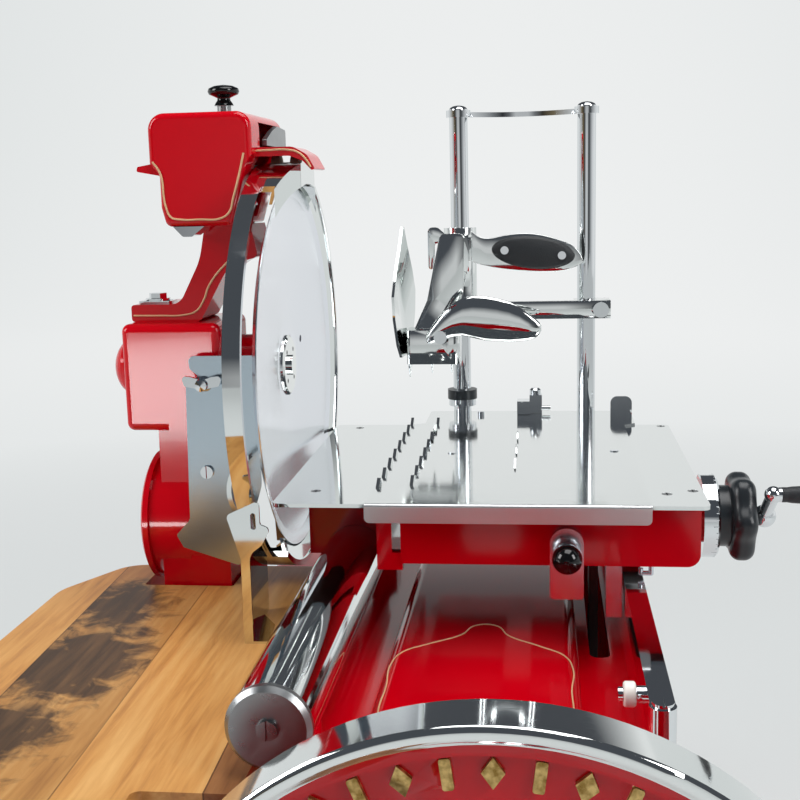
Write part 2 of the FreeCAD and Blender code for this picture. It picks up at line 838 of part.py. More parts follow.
def make_guard_bracket():
    """The bent polished sheet before the ring, and the finger beside the deflector."""
    left, y = blade_x - 22, blade_y - ring_outer - 6
    right = table_left - 2
    sheet = 2.0
    front = [(left, blade_z - 88, 4), (right, blade_z - 76, 3), (right, blade_z - 95, 2),
             (right + 8, blade_z - 98, 5), (right + 1, blade_z - 111, 6), (left + 17, blade_z - 119, 10),
             (left + 17, board_z), (left + 10, board_z), (left + 10, blade_z - 122, 8)]
    slot = plate("y", y - 5, y + 5, [(blade_x - 3, blade_z - 99, 2), (blade_x + 1, blade_z - 99, 2),
                                     (blade_x + 1, blade_z - 86, 2), (blade_x - 3, blade_z - 86, 2)])
    face = plate("y", y - sheet, y, front).cut(slot)
    side = plate("x", left + 10, left + 10 + sheet,
                 [(y - sheet, board_z), (y + 74, board_z, 6), (y + 74, blade_z - 138, 8),
                  (y + 20, blade_z - 84, 8), (y - sheet, blade_z - 92)])
    side = side.cut(bar("x", ring_outer + 0.5, blade_y, blade_z, left - 5, left + 30))
    foot = plate("z", board_z, board_z + sheet, [(left + 10, y - sheet), (left + 30, y - sheet, 4),
                                                 (left + 26, y + 34, 6), (left + 10, y + 60)])
    return group([joined([face, side, foot]), make_guard_clip()])


def make_guard_clip():
    """The curved finger beside the deflector."""
    y = column_front() - 44
    outer, inner, middle = 34.0, 30.0, (blade_x - 12, blade_z - 93)
    ring = sleeve("y", outer, inner, middle[0], middle[1], y, y + 14)
    keep = box((middle[0] - outer - 1, middle[0] - 14), (y - 1, y + 15), (middle[1] - 34, middle[1] + 34))
    foot = box((middle[0] - outer, middle[0] - inner), (y + 1, deflector_y() - 2),
               (middle[1] - 6, middle[1] + 6))
    return joined([ring.common(keep), foot])


def deflector_y():
    return column_front() - 10


def make_deflector():
    """The plate behind the blade that lays the slices down."""
    y = deflector_y()
    left, right = blade_x - 83, blade_x - 24
    corners = [(left, blade_z + 17, 5), (right, blade_z + 17), (right, blade_z - 96, 30),
               (blade_x - 46, blade_z - 168, 3), (left - 13, blade_z - 152, 3),
               (left - 19, blade_z - 141, 3), (left - 6, blade_z - 127, 8), (left - 3, blade_z - 6, 4),
               (left + 9, blade_z - 1, 2), (left + 1, blade_z + 6, 2)]
    sheet = plate("y", y - 2, y, corners)
    return sheet.cut([bar("y", 3.2, *wing_place(), y - 5, y + 5),
                      bar("y", 3.2, *stay_place(), y - 5, y + 5)])


def wing_place():
    return (blade_x - 70, blade_z - 7)


def stay_place():
    return (blade_x - 71, blade_z - 84)


def deflector_stays():
    """The two spacers between the deflector and the column."""
    y = deflector_y()
    return [sleeve("y", 7, 3.1, x, z, y, column_front()) for x, z in (wing_place(), stay_place())]


def make_wing_bolt():
    y = deflector_y() - 2
    x, z = wing_place()
    pin = bar("y", 3.05, x, z, y - 1, column_front() - 0.2)
    hub = turned("y", x, z, [(y - 0.2, 0), (y - 0.2, 7), (y - 6, 6), (y - 11, 5), (y - 12, 0)])
    wings = []
    for side in (-1, 1):
        corners = [(x, z - 4, 1), (x + side * 15, z - 1, 2), (x + side * 18, z + 8, 4),
                   (x + side * 9, z + 7, 3), (x, z + 4, 1)]
        wings.append(plate("y", y - 7.5, y - 4, corners))
    return joined([pin, hub] + wings)


# ---------------------------------------------------------------- flywheel and drive

def make_flywheel():
    """The web and hub of the flywheel, with round openings."""
    front = flywheel_back - rim_width
    web_front = front + web_set_back
    inner = flywheel_radius - rim_thickness
    profile = [(web_front, 0), (web_front, inner), (web_front + web_thickness, inner),
               (web_front + web_thickness, hub_radius + 6),
               (flywheel_back + 2, hub_radius), (flywheel_back + 2, 0)]
    wheel = turned("y", flywheel_x, shaft_z, profile)
    nose = turned("y", flywheel_x, shaft_z, [(web_front + 1, 0), (web_front + 1, hub_radius),
                                             (front - 2, hub_radius - 4), (front - 4, 0)])
    holes = []
    for k in range(web_holes):
        turn = 2 * math.pi * (k + 0.5) / web_holes
        hx = flywheel_x + web_hole_ring * math.cos(turn)
        hz = shaft_z + web_hole_ring * math.sin(turn)
        holes.append(bar("y", web_hole_radius, hx, hz, front - 5, flywheel_back + 5))
    shaft = bar("y", flywheel_shaft_radius, flywheel_x, shaft_z, front - 10, flywheel_back + 10)
    px, pz = handle_place()
    seat = bar("y", 15, px, pz, web_front - 3, web_front + 2)
    wheel = joined([wheel, nose, seat, make_rim()] + make_marks())
    return wheel.cut(holes + [shaft, bar("y", handle_pin_radius, px, pz, front - 20, flywheel_back + 5)])


def make_rim():
    """The polished rim, with a bead inside its front edge."""
    front = flywheel_back - rim_width
    outer, inner = flywheel_radius, flywheel_radius - rim_thickness
    profile = [(flywheel_back, inner), (flywheel_back, outer - 1.5), (flywheel_back - 1.5, outer),
               (front + 3, outer), (front + 0.6, outer - 1.6), (front, outer - 4), (front + 1.4, outer - 8),
               (front + 4.5, inner), (front + 4.5, inner - rim_bead),
               (front + web_set_back, inner - rim_bead), (front + web_set_back, inner)]
    return turned("y", flywheel_x, shaft_z, profile)


def make_marks():
    """Raised bars and lozenges in turn round the flywheel's face."""
    front = flywheel_back - rim_width + web_set_back
    middle = flywheel_radius - rim_thickness - rim_bead - mark_gap - mark_height / 2
    marks = []
    for k in range(mark_count):
        turn = 360.0 * k / mark_count
        half_width = mark_width / 2 if k % 2 else mark_width
        half_height = mark_height / 2
        if k % 2:
            corners = [(-half_width, -half_height, 1.5), (half_width, -half_height, 1.5),
                       (half_width, half_height, 1.5), (-half_width, half_height, 1.5)]
        else:
            corners = [(0, -half_height), (half_width, 0), (0, half_height), (-half_width, 0)]
        corners = [(c[0], c[1] + middle) + tuple(c[2:]) for c in corners]
        mark = plate("y", front - mark_rise, front + 1, corners)
        mark.rotate(Vector(0, 0, 0), Vector(0, 1, 0), turn)
        mark.translate(Vector(flywheel_x, 0, shaft_z))
        marks.append(mark)
    return marks


def make_flywheel_nut():
    front = flywheel_back - rim_width - 4
    washer = bar("y", 24, flywheel_x, shaft_z, front - 3, front)
    nut = turned("y", flywheel_x, shaft_z, [(front - 3, 0), (front - 3, 19), (front - 15, 19),
                                            (front - 21, 13), (front - 23, 0)])
    return joined([washer, nut])


def make_flywheel_shaft():
    front = flywheel_back - rim_width - 4
    return bar("y", flywheel_shaft_radius, flywheel_x, shaft_z, front, blade_y - bevel_radius + 8)


def handle_place():
    turn = math.radians(handle_angle)
    return flywheel_x + handle_ring * math.cos(turn), shaft_z + handle_ring * math.sin(turn)


def make_handle_pin():
    x, z = handle_place()
    seat = flywheel_back - rim_width + web_set_back - 3
    end = seat - handle_length - 8
    pin = bar("y", handle_pin_radius, x, z, end, seat + 3 + web_thickness)
    head = turned("y", x, z, [(end + 0.5, 0), (end + 0.5, 11), (end - 3, 11), (end - 6, 7), (end - 6, 0)])
    nut = bar("y", 12, x, z, seat + 3 + web_thickness, seat + 3 + web_thickness + 6)
    collar = bar("y", 12, x, z, seat - 4, seat)
    return joined([pin, head, nut, collar])


def make_handle_grip():
    """The turned grip that spins on the flywheel's handle pin."""
    x, z = handle_place()
    seat = flywheel_back - rim_width + web_set_back - 3
    low = seat - handle_length - 7
    high = seat - 4 - clearance
    length = high - low
    bore = handle_pin_radius + 0.08
    profile = [(low, bore), (low, 12), (low + 0.06 * length, handle_radius - 1),
               (low + 0.25 * length, handle_radius),
               (low + 0.6 * length, handle_radius - 2), (low + 0.85 * length,
                                                         handle_radius - 6), (high - 5, 12.5), (high,
                       12.5), (high, bore)]
    return turned("y", x, z, profile)


def bevel_gear(axis, apex, toward, phase):
    """A straight bevel gear for shafts at right angles, its cone's point at apex.

    toward is +1 or -1 along the axis, from the apex to the gear."""
    along = directions[axis] * toward
    first = Vector(0, 0, 1)
    second = along.cross(first)
    big = bevel_radius
    small = bevel_radius - bevel_face * math.sqrt(0.5)
    half_pitch = math.pi / bevel_teeth
    teeth = []
    for k in range(bevel_teeth):
        turn = 2 * half_pitch * (k + phase)
        out = first * math.cos(turn) + second * math.sin(turn)
        side = first * -math.sin(turn) + second * math.cos(turn)
        normal = (out - along).normalize()
        ends = []
        for radius in (big, small):
            scale = radius / big
            middle = apex + along * radius + out * radius
            root, tip = -1.2 * tooth_height * scale, 0.8 * tooth_height * scale
            wide, narrow = 0.46 * half_pitch * radius * 1.15, 0.30 * half_pitch * radius
            corners = [middle + normal * root - side * wide, middle + normal * root + side * wide,
                       middle + normal * tip + side * narrow, middle + normal * tip - side * narrow]
            ends.append(Part.makePolygon(corners + corners[:1]))
        teeth.append(Part.makeLoft(ends, True, True))
    drop = 1.1 * tooth_height * math.sqrt(0.5)
    sign = toward
    base = {"x": apex.x, "y": apex.y}[axis]
    u, v = (apex.y, apex.z) if axis == "x" else (apex.x, apex.z)
    profile = [(base + sign * (small + drop), 0), (base + sign * (small + drop), small - drop),
               (base + sign * (big + drop), big - drop),
               (base + sign * (big + drop + 6), big - drop - 6), (base + sign * (big + drop + 14),
                       big * 0.55),
               (base + sign * (big + drop + 14), 0)]
    body = turned(axis, u, v, profile)
    return joined([body] + teeth)


def gear_apex():
    return Vector(flywheel_x, blade_y, shaft_z)


def make_bevel_pinion():
    gear = bevel_gear("y", gear_apex(), -1, 0.0)
    return gear.cut(bar("y", flywheel_shaft_radius, flywheel_x, shaft_z, flywheel_back, blade_y))


def make_crank_gear():
    gear = bevel_gear("x", gear_apex(), -1, 0.5)
    return gear.cut(bar("x", cross_shaft_radius, blade_y, shaft_z, flywheel_x - 200, flywheel_x))


def make_cross_shaft():
    left = chain_x - 8
    right = lever_x - lever_thickness / 2 - crank_disc_thickness - 4
    shaft = bar("x", cross_shaft_radius, blade_y, shaft_z, left, right + 4)
    return shaft


def make_crank_disc():
    """The disc and its short pin that swing the slotted lever."""
    right = lever_x - lever_thickness / 2 - 5
    left = right - crank_disc_thickness
    disc = bar("x", crank_radius + 10, blade_y, shaft_z, left, right)
    pin = bar("x", crank_pin_radius, blade_y, shaft_z - crank_radius, right - 1, right + 5 - clearance)
    hub = bar("x", cross_shaft_radius + 7, blade_y, shaft_z, left - 12, left + 1)
    relief = [bar("x", 15, blade_y + s * 40, shaft_z + 20, left - 1, right + 1) for s in (-1, 1)]
    return joined([disc, pin, hub]).cut(relief + [bar("x", cross_shaft_radius, blade_y, shaft_z,
                                                      left - 20, left + crank_disc_thickness - 1)])


def make_drive_sprocket():
    return sprocket(drive_teeth, blade_y, shaft_z, cross_shaft_radius, cross_shaft_radius + 5)


def make_lever():
    """The slotted lever that moves the carriage: pivot at the bottom, pin at the top."""
    low, high = lever_x - lever_thickness / 2, lever_x + lever_thickness / 2
    half = lever_width / 2
    top = lever_top_z
    corners = [(blade_y - half, lever_pivot_z - half, half - 0.1),
               (blade_y + half, lever_pivot_z - half, half - 0.1),
               (blade_y + half, top - 40, 20), (blade_y + 9, top + 9, 8.5), (blade_y - 9, top + 9,
                       8.5), (blade_y - half, top - 40, 20)]
    body = plate("x", low, high, corners)
    slot_half = crank_pin_radius + 0.3
    slot_low = shaft_z - crank_radius - crank_pin_radius - 4
    slot_high = shaft_z + crank_radius + crank_pin_radius + 4
    slot = plate("x", low - 1, high + 1, [(blade_y - slot_half, slot_low, slot_half - 0.1),
                                          (blade_y + slot_half, slot_low, slot_half - 0.1),
                                          (blade_y + slot_half, slot_high,
                                           slot_half - 0.1), (blade_y - slot_half, slot_high,
                                                              slot_half - 0.1)])
    pin = bar("x", 5, blade_y, top, low - 8, low + 1)
    bore = bar("x", lever_pin_radius + running_fit, blade_y, lever_pivot_z, low - 1, high + 1)
    return joined([body, pin]).cut([slot, bore])


def lever_pivot():
    low = lever_x - lever_thickness / 2
    pin = bar("x", lever_pin_radius, blade_y, lever_pivot_z, low - clearance, base_right - plinth_step - 4)
    head = bar("x", lever_pin_radius + 4, blade_y, lever_pivot_z, low - clearance - 4, low - clearance)
    return joined([pin, head])


# ---------------------------------------------------------------- rails

def make_tube():
    tube = sleeve("y", tube_radius, tube_radius - tube_wall, tube_x, tube_z, tube_front + 7, tube_rear - 7)
    return tube


def make_tube_caps():
    """Turned caps in the tube's ends, each with a screw through it."""
    caps = []
    for end, out in ((tube_front + 7, -1), (tube_rear - 7, 1)):
        inner = tube_radius - tube_wall
        profile = [(end - out * 12, end_screw_radius * 0.5), (end - out * 12, inner), (end, inner),
                   (end, tube_radius), (end + out * 4, tube_radius),
                   (end + out * 7, tube_radius - 3), (end + out * 6,
                                                      end_screw_radius + 1), (end + out * 6,
                           end_screw_radius * 0.5)]
        caps.append(turned("y", tube_x, tube_z, profile))
    return group(caps)


def make_steel_fixings():
    """Slotted screws, the sharpener's bolt, catch and lip, the deflector's spacers, and pins."""
    fixings = deflector_stays() + [idler_pin(), lever_pivot(), stop_roller_pin(), arm_bolt()]
    fixings += [make_window_catch(), make_drip_lip()]
    for end, out in ((tube_front + 7, -1), (tube_rear - 7, 1)):
        stem = bar("y", end_screw_radius * 0.5, tube_x, tube_z, *sorted((end - out * 12, end + out * 6)))
        fixings.append(stem.fuse(screw_head(end_screw_radius, out * 3.0, "y", tube_x, tube_z,
                                            end + out * 6)))
    top = rail_z + pillar_rise
    fixings += [screw_head(6.5, 2.5, "z", pillar_x(), y, top) for y in pillar_places()]
    sx, sz = stay_place()
    y = deflector_y() - 2
    stay = bar("y", 3.1, sx, sz, y - 0.5, column_front())
    fixings.append(stay.fuse(screw_head(5.5, -3.0, "y", sx, sz, y)))
    return group(fixings)


def pillar_x():
    return rail_left + rail_width / 2 - 1.5


def pillar_places():
    return [pillar_y, rail_rear + 2 * pillar_radius - 8]


def make_side_rail():
    """The flat rail that the carriage's roller runs on, bored for the stop roller's axle."""
    rail = box((rail_left, rail_left + rail_width), (rail_front, rail_rear), (rail_z - rail_height, rail_z))
    return rail.cut(bar("x", 3, *stop_roller_place(), rail_left - 1, rail_left + rail_width / 2))


def make_rail_pillars():
    """Round pillars at the rail's ends."""
    front, rear = [bar("z", pillar_radius, pillar_x(), at, deck_z, rail_z + pillar_rise)
                   for at in pillar_places()]
    rear_foot = box((pillar_x() - 6, pillar_x() + 6), (body_y()[1] - 20, pillar_places()[1]),
                    (deck_z, deck_z + 8))
    return group([front, rear.fuse(rear_foot)])


def stop_roller_place():
    return rail_front + stop_roller_inset, rail_z - stop_roller_drop


def make_stop_roller():
    half = stop_roller_width / 2
    x, wide = stop_roller_x, stop_roller_radius
    profile = [(x - half, 3.06), (x - half, wide - 1), (x - half + 1, wide), (x + half - 1, wide),
               (x + half, wide - 1),
               (x + half, 3.06)]
    return turned("x", *stop_roller_place(), profile)


def stop_roller_pin():
    """The stop roller's axle with its boss, set in the side rail."""
    x, half = stop_roller_x, stop_roller_width / 2
    y, z = stop_roller_place()
    axle = bar("x", 3, y, z, x - half - 2, rail_left + rail_width / 2)
    head = bar("x", 4.5, y, z, x - half - 3.4, x - half - clearance)
    boss = bar("x", 5.5, y, z, x + half + clearance, rail_left)
    return joined([axle, head, boss])


# ---------------------------------------------------------------- carriage

def make_carriage():
    """The red carriage body with its bored shoe on the tube, the drive lug and the roller's boss."""
    top = table_z - table_thickness
    low, wall = carriage_z, carriage_wall
    front = [(carriage_left, low, 2), (carriage_right, low, carriage_corner), (carriage_right, top),
             (carriage_left, top)]
    front_wall = plate("y", carriage_front, carriage_front + wall, front)
    rear_y = table_rear - 6
    right = box((carriage_right - wall, carriage_right), (carriage_front + wall - 1, rear_y),
                (low + 8, top))
    left = box((carriage_left, carriage_left + wall), (carriage_front + wall - 1, rear_y - 40),
               (low + 2, top))
    lid = box((left_leg_x()[0], carriage_left + 1), (shoe_y - shoe_length / 2, rear_y - 40), (top - 9, top))
    legs = [box(left_leg_x(), (shoe_y - shoe_length / 2, rear_y - 40), (tube_z + 1, top - 1)),
            box(right_leg_x(), (carriage_front + 2, rear_y - 40), (carriage_z - 6, top)),
            box((right_leg_x()[0], carriage_left + 1), (carriage_front + 2, carriage_front + 12),
                (carriage_z - 6, carriage_z + 8))]
    cross = box((carriage_left, carriage_right), (shoe_y + 60, shoe_y + 68), (top - 12, top))
    boss = bar("x", 8, roller_y, roller_z(), rail_left + rail_width + 3, carriage_right - wall + 1)
    lug = box((carriage_right - wall, carriage_right), (roller_y - 12, roller_y + 12),
              (roller_z() - 10, low + 9))
    block = box((carriage_right - wall - 15, carriage_right - wall + 1), (screw_y - 16, screw_y + 16),
                (screw_z - 14, top))
    neck = bar("x", 22, screw_y, screw_z, carriage_right - 1, carriage_right + scale_gap)
    body = joined([front_wall, right, left, lid, cross, lug, block, boss, neck, tube_shoe(), drive_lug()]
                  + legs)
    screw = bar("x", screw_radius + running_fit, screw_y, screw_z, carriage_left - 5, carriage_right + 15)
    room_above = box((carriage_right - 5, carriage_right + 30), (screw_y - 30, screw_y + 30),
                     (top, top + 20))
    return body.cut([screw, bar("x", 4, roller_y, roller_z(), rail_left, carriage_right - wall),
                     room_above])


def left_leg_x():
    outer = tube_x - tube_radius - leg_gap
    return (outer - 11, outer)


def right_leg_x():
    inner = tube_x + tube_radius + leg_gap
    return (inner, inner + 12)


def drive_lug():
    """The slotted lug under the table that the lever's top pin pushes."""
    high = lever_x - lever_thickness / 2 - 1
    low = high - 12
    swing = math.asin(stroke / lever_z_reach)
    bottom = lever_pivot_z + lever_z_reach * math.cos(swing) - 10
    body = box((low, high), (blade_y - 18, blade_y + 18), (bottom, table_z - table_thickness))
    slot = box((low - 1, high + 1), (blade_y - 8.5, blade_y + 8.5), (bottom - 1, lever_top_z + 9))
    rib = box((low, high), (blade_y + 17, shoe_y + 61), (table_z - table_thickness - 12,
                                                         table_z - table_thickness))
    return body.cut(slot).fuse(rib)


def tube_shoe():
    """The bored block that slides on the tube rail."""
    low, high = shoe_y - shoe_length / 2, shoe_y + shoe_length / 2
    block = box((left_leg_x()[1] - 1, right_leg_x()[0] + 1), (low, high),
                (tube_z + 1, table_z - table_thickness - 8))
    return block.cut(bar("y", tube_radius + running_fit, tube_x, tube_z, low - 1, high + 1))


def roller_z():
    return rail_z + roller_radius + clearance


def make_carriage_roller():
    middle = rail_left + rail_width / 2
    half = roller_width / 2
    return sleeve("x", roller_radius, 4 + running_fit, roller_y, roller_z(), middle - half, middle + half)


def roller_pin():
    middle = rail_left + rail_width / 2
    pin = bar("x", 4, roller_y, roller_z(), middle - roller_width / 2 - 2, carriage_right - carriage_wall)
    head = bar("x", 6, roller_y, roller_z(), middle - roller_width / 2 - 4, middle - roller_width / 2 - 1)
    return pin.fuse(head)


def make_lower_table():
    """The fixed food table on the carriage."""
    corners = [(table_left, table_front, table_corner), (table_right, table_front, table_corner),
               (table_right, table_rear, table_corner), (table_left, table_rear, table_corner)]
    sheet = plate("z", table_z - table_thickness, table_z, corners)
    return sheet.cut([bar("z", 4.2, x, y, table_z - 2, table_z + 1) for x, y in table_screw_places()])


def table_screw_places():
    return [(table_left + 25, table_rear - 16), (table_left + 28, table_front + 40),
            (table_right - 29, table_front + 37),
            (table_right - 8, table_front + 47), (table_right - 8, table_rear - 8)]


def make_carriage_screws():
    """Countersunk screws of the lower table, and the roller's pin."""
    screws = [screw_head(4.2, 1.9, "z", x, y, table_z - 2) for x, y in table_screw_places()]
    return group(screws + [roller_pin()])


def make_carriage_fittings():
    """Bright pieces on the carriage's front: guide block, bent rod and round topped release plate."""
    y = carriage_front
    block = box((rail_left - 13.6, rail_left - 1.2), (y + 3, y + 15), (rail_z - 32, carriage_z))
    return group([block, hook_rod(), release_plate()])


def hook_rod():
    """The bent rod under the carriage's front wall, right of the rail."""
    x, y, z = rail_left + rail_width + 6, carriage_front + 4, carriage_z
    low = z - 6.5
    post = bar("z", 2.0, x, y, low, z)
    foot = bar("x", 2.0, y, low, x - 8, x)
    tip = bar("z", 2.0, x - 8, y, low, low + 4)
    corners = [Part.makeSphere(2.0, Vector(at, y, low)) for at in (x - 8, x)]
    return joined([post, foot, tip] + corners)


def release_plate():
    """The round topped plate that guides the release plunger."""
    half = plunger_plate_width / 2
    top, low = table_z - 21, table_z - 78
    y = carriage_front
    corners = [(plunger_x - half, low, 3), (plunger_x + half, low, 3),
               (plunger_x + half, top, half - 0.2), (plunger_x - half, top, half - 0.2)]
    face = plate("y", y - 6, y, corners)
    foot = box((plunger_x - half, plunger_x + half), (y - 1, y + 16), (low, low + 5))
    return joined([face, foot]).cut(bar("y", 5 + running_fit, plunger_x, plunger_z(), y - 10, y + 5))


def plunger_z():
    return table_z - 41


def make_plunger():
    """The ball ended pin that is pulled to free the feed screw's nut."""
    y = carriage_front - 6
    z = plunger_z()
    ball = Part.makeSphere(plunger_ball_radius, Vector(plunger_x, y - 8 - plunger_ball_radius * 0.6, z))
    collar = turned("y", plunger_x, z, [(y - clearance, 0), (y - clearance, 8), (y - 3, 8), (y - 8, 5.5),
                                        (y - 12, 5.5), (y - 12, 0)])
    pin = bar("y", 5, plunger_x, z, y - 2, carriage_front - clearance)
    return joined([ball, collar, pin])


# ---------------------------------------------------------------- upper table, posts and feed

def make_upper_table():
    """The sliding plate with a rolled front lip and a narrower rear end."""
    middle_y = post_y - 61
    corners = [(upper_left, upper_front), (upper_right, upper_front), (upper_right, middle_y),
               (post_plate_right, middle_y + 8), (post_plate_right, post_plate_rear, 5),
               (post_plate_left, post_plate_rear, 5), (post_plate_left, middle_y + 8),
               (upper_left, middle_y)]
    sheet = plate("z", table_z, upper_z, corners)
    lip_y = table_front - 1
    lip = plate("y", lip_y - lip_depth, lip_y, [(upper_left, upper_z - lip_height, 4),
                                                (upper_right, upper_z - lip_height, 4),
                                                (upper_right, upper_z), (upper_left, upper_z)])
    lip = soften(lip, 2.6, lambda c, e: abs(c.y - (lip_y - lip_depth)) < 0.01 and abs(c.z - upper_z) < 0.01)
    posts = [bar("z", 4.5, x, post_y, table_z - 1, upper_z + 1) for x in (post_left_x, post_right_x)]
    return joined([sheet.cut(box((upper_left - 1, upper_right + 1), (upper_front - 1, lip_y),
                                 (table_z - 1, upper_z + 1))), lip]).cut(posts)


def spike_rows():
    """X, first Y, last Y, count and half thickness of each row of spikes."""
    return [(post_left_x - 48, table_front + 51, table_rear - 4, 8, 1.4),
            (post_left_x - 21.5, table_front + 61, table_rear - 4, 8, 1.4),
            (post_left_x + short_row_x, table_front + short_row_first, table_front + short_row_last, 3, 0.7)]


def make_spikes():
    """Rows of slanting teeth that grip the food from below."""
    spikes = []
    for x, first, last, count, half in spike_rows():
        for k in range(count):
            y = first + (last - first) * k / (count - 1)
            corners = [(y - 9, upper_z), (y + 9, upper_z), (y + 2, upper_z + spike_height)]
            spikes.append(plate("x", x - half, x + half, corners))
    return group(spikes)


def make_posts():
    """The two polished posts with their turned caps."""
    posts = []
    for x in (post_left_x, post_right_x):
        low, high = upper_z, upper_z + post_height
        body = bar("z", post_radius, x, post_y, low, post_top())
        neck = bar("z", 6, x, post_y, post_top() - 1, high - 4.5)
        stem = bar("z", 4.5, x, post_y, low - 20, low + 1)
        posts.append(joined([body, neck, stem]))
    return group(posts)


def post_top():
    return upper_z + post_height - 12.5


def make_top_bar():
    """The bar between the post tops, bowed to the rear, with a thick middle."""
    low, high = post_top(), post_top() + top_bar_height
    middle_x = (post_left_x + post_right_x) / 2
    eyes = [bar("z", 12.5, x, post_y, low, high) for x in (post_left_x, post_right_x)]
    bow = []
    for offset in (0.0, 7.0):
        ends = [Vector(x, post_y + offset, low + 1) for x in (post_left_x, post_right_x)]
        bow.append((ends[0], Vector(middle_x, post_y + top_bar_bow + offset * 1.6, low + 1), ends[1]))
    inner, outer = bow
    wire = Part.Wire([
        Part.Arc(*inner).toShape(),
        Part.LineSegment(inner[2], outer[2]).toShape(),
        Part.Arc(outer[2], outer[1], outer[0]).toShape(),
        Part.LineSegment(outer[0], inner[0]).toShape(),
    ])
    span = Part.Face(wire).extrude(Vector(0, 0, top_bar_height - 2))
    body = joined(eyes + [span])
    return body.cut([bar("z", 6, x, post_y, low - 1, high + 1) for x in (post_left_x, post_right_x)])


def post_caps():
    """Domed nuts on the posts' tops."""
    caps = []
    low = post_top() + top_bar_height
    for x in (post_left_x, post_right_x):
        profile = [(low, 6), (low, 9.8), (low + 1.2, 9.6), (low + 2.8, 8.4), (low + 4.1, 6.2),
                   (low + 4.9, 3.2), (low + 5.2, 0), (low + 1.2, 0), (low + 1.2, 6)]
        caps.append(turned("z", x, post_y, profile))
    return caps


def make_table_fittings():
    """Domed nuts and foot rings of the posts, and the small pieces on the upper table's rear."""
    low = upper_z
    rings = [sleeve("z", 14.5, post_radius, post_left_x, post_y, low + 10, low + 17),
             sleeve("z", 15.5, post_radius, post_left_x, post_y, low + 17, low + 27)]
    button = bar("z", 3.5, post_left_x + 20, post_y - 8, low, low + 4)
    x, y = post_plate_right - 22, post_y - 10
    tab = plate("y", y, y + 2.5, [(x, low), (x + 22, low), (x + 22, low + 20, 7), (x, low + 20, 7)])
    screws = [bar("z", 4, sx, sy, low, low + 0.8) for sx, sy in ((14, 145), (160, 155))]
    return group(post_caps() + rings + [button, tab] + screws)


def make_post_bracket():
    """The casting under the upper table's rear that carries the posts and the feed nut."""
    top = table_z
    keel_z = (screw_z - 8, screw_z + 6)
    y0, y1 = table_rear + 2, post_plate_rear - 2
    keel_x = (60, 84)
    beam = box((post_plate_left + 6, post_plate_right - 30), (y0, y1), (top - 20, top))
    keel = box(keel_x, (screw_y - 14, y0 + 14), keel_z)
    rise = box(keel_x, (y0, y0 + 14), (keel_z[0], top - 19))
    nut = box(keel_x, (screw_y - 14, screw_y + 14), (screw_z - 14, screw_z + 12))
    body = joined([beam, keel, rise, nut])
    holes = [bar("z", 4.5, x, post_y, top - 30, top + 1) for x in (post_left_x, post_right_x)]
    return body.cut(holes + [bar("x", screw_radius + 0.3, screw_y, screw_z, 0, 200)])


def make_side_clamp():
    """The low clamp block with a screw at the table's rear edge."""
    x, y = post_left_x + 64, post_y + 6
    low = upper_z + clearance
    block = box((x - 6, x + 8), (y - 14, y + 4), (low, low + 14))
    tall = box((x + 8 - 1, x + 20), (y - 4, y + 8), (low, low + 19))
    knob = turned("z", x + 13, y + 2, [(low + 18, 0), (low + 18, 6), (low + 24, 6), (low + 26, 4),
                                       (low + 26, 0)])
    bolt = bar("x", 2.5, y - 2, low + 5, x + 19, x + 29)
    return joined([block, tall, knob, bolt])


def make_lead_screw():
    """The feed screw, with a rounded thread over the nut's travel."""
    left = carriage_left + carriage_wall + 4
    core = bar("x", screw_radius - 0.8, screw_y, screw_z, left - 1, carriage_right - 14)
    neck = bar("x", screw_radius, screw_y, screw_z, carriage_right - 24, crank_x() + 3)
    tail = bar("x", screw_radius, screw_y, screw_z, carriage_left + 1, left)
    rings = []
    x = left + 8
    while x < carriage_right - 60:
        rings.append(bar("x", screw_radius, screw_y, screw_z, x, x + screw_pitch / 2))
        x += screw_pitch
    return joined([core, neck, tail] + rings)


def make_scale_ring():
    """The bright ring with division marks at the carriage's right end."""
    low = carriage_right + scale_gap
    profile = [(low, screw_radius + running_fit), (low, scale_radius),
               (low + scale_width - 2, scale_radius), (low + scale_width, scale_radius - 2),
               (low + scale_width, screw_radius + running_fit)]
    ring = turned("x", screw_y, screw_z, profile)
    cuts = []
    for k in range(40):
        turn = 2 * math.pi * k / 40
        cy, cz = screw_y + scale_radius * math.cos(turn), screw_z + scale_radius * math.sin(turn)
        length = 6.0 if k % 5 == 0 else 3.5
        cuts.append(bar("x", 0.5, cy, cz, low + scale_width - length, low + scale_width + 1))
    return ring.cut(cuts)


def make_knob():
    """The lobed index knob that sets the slice's thickness."""
    low = knob_x()
    hub = bar("x", knob_hub_radius, screw_y, screw_z, low, low + 12)
    steps = knob_lobes * 8
    ring = []
    for k in range(steps):
        turn = 2 * math.pi * k / steps
        radius = knob_radius - knob_lobe_depth / 2 * (1 - math.cos(knob_lobes * turn))
        ring.append(Vector(low + 9, screw_y + radius * math.cos(turn), screw_z + radius * math.sin(turn)))
    curve = Part.BSplineCurve()
    curve.interpolate(ring, PeriodicFlag=True)
    body = Part.Face(Part.Wire([curve.toShape()])).extrude(Vector(knob_width, 0, 0))
    body = soften(body, knob_edge, lambda c, e: True)
    disc = joined([hub, body])
    return disc.cut(bar("x", screw_radius + running_fit, screw_y, screw_z, low - 1, low + knob_width + 20))


def knob_x():
    return carriage_right + scale_gap + scale_width + clearance


def crank_x():
    return knob_x() + 9 + knob_width


def grip_place():
    """Y and Z of the feed crank's grip."""
    turn = math.radians(crank_lean)
    return screw_y - crank_arm * math.sin(turn), screw_z + crank_arm * math.cos(turn)


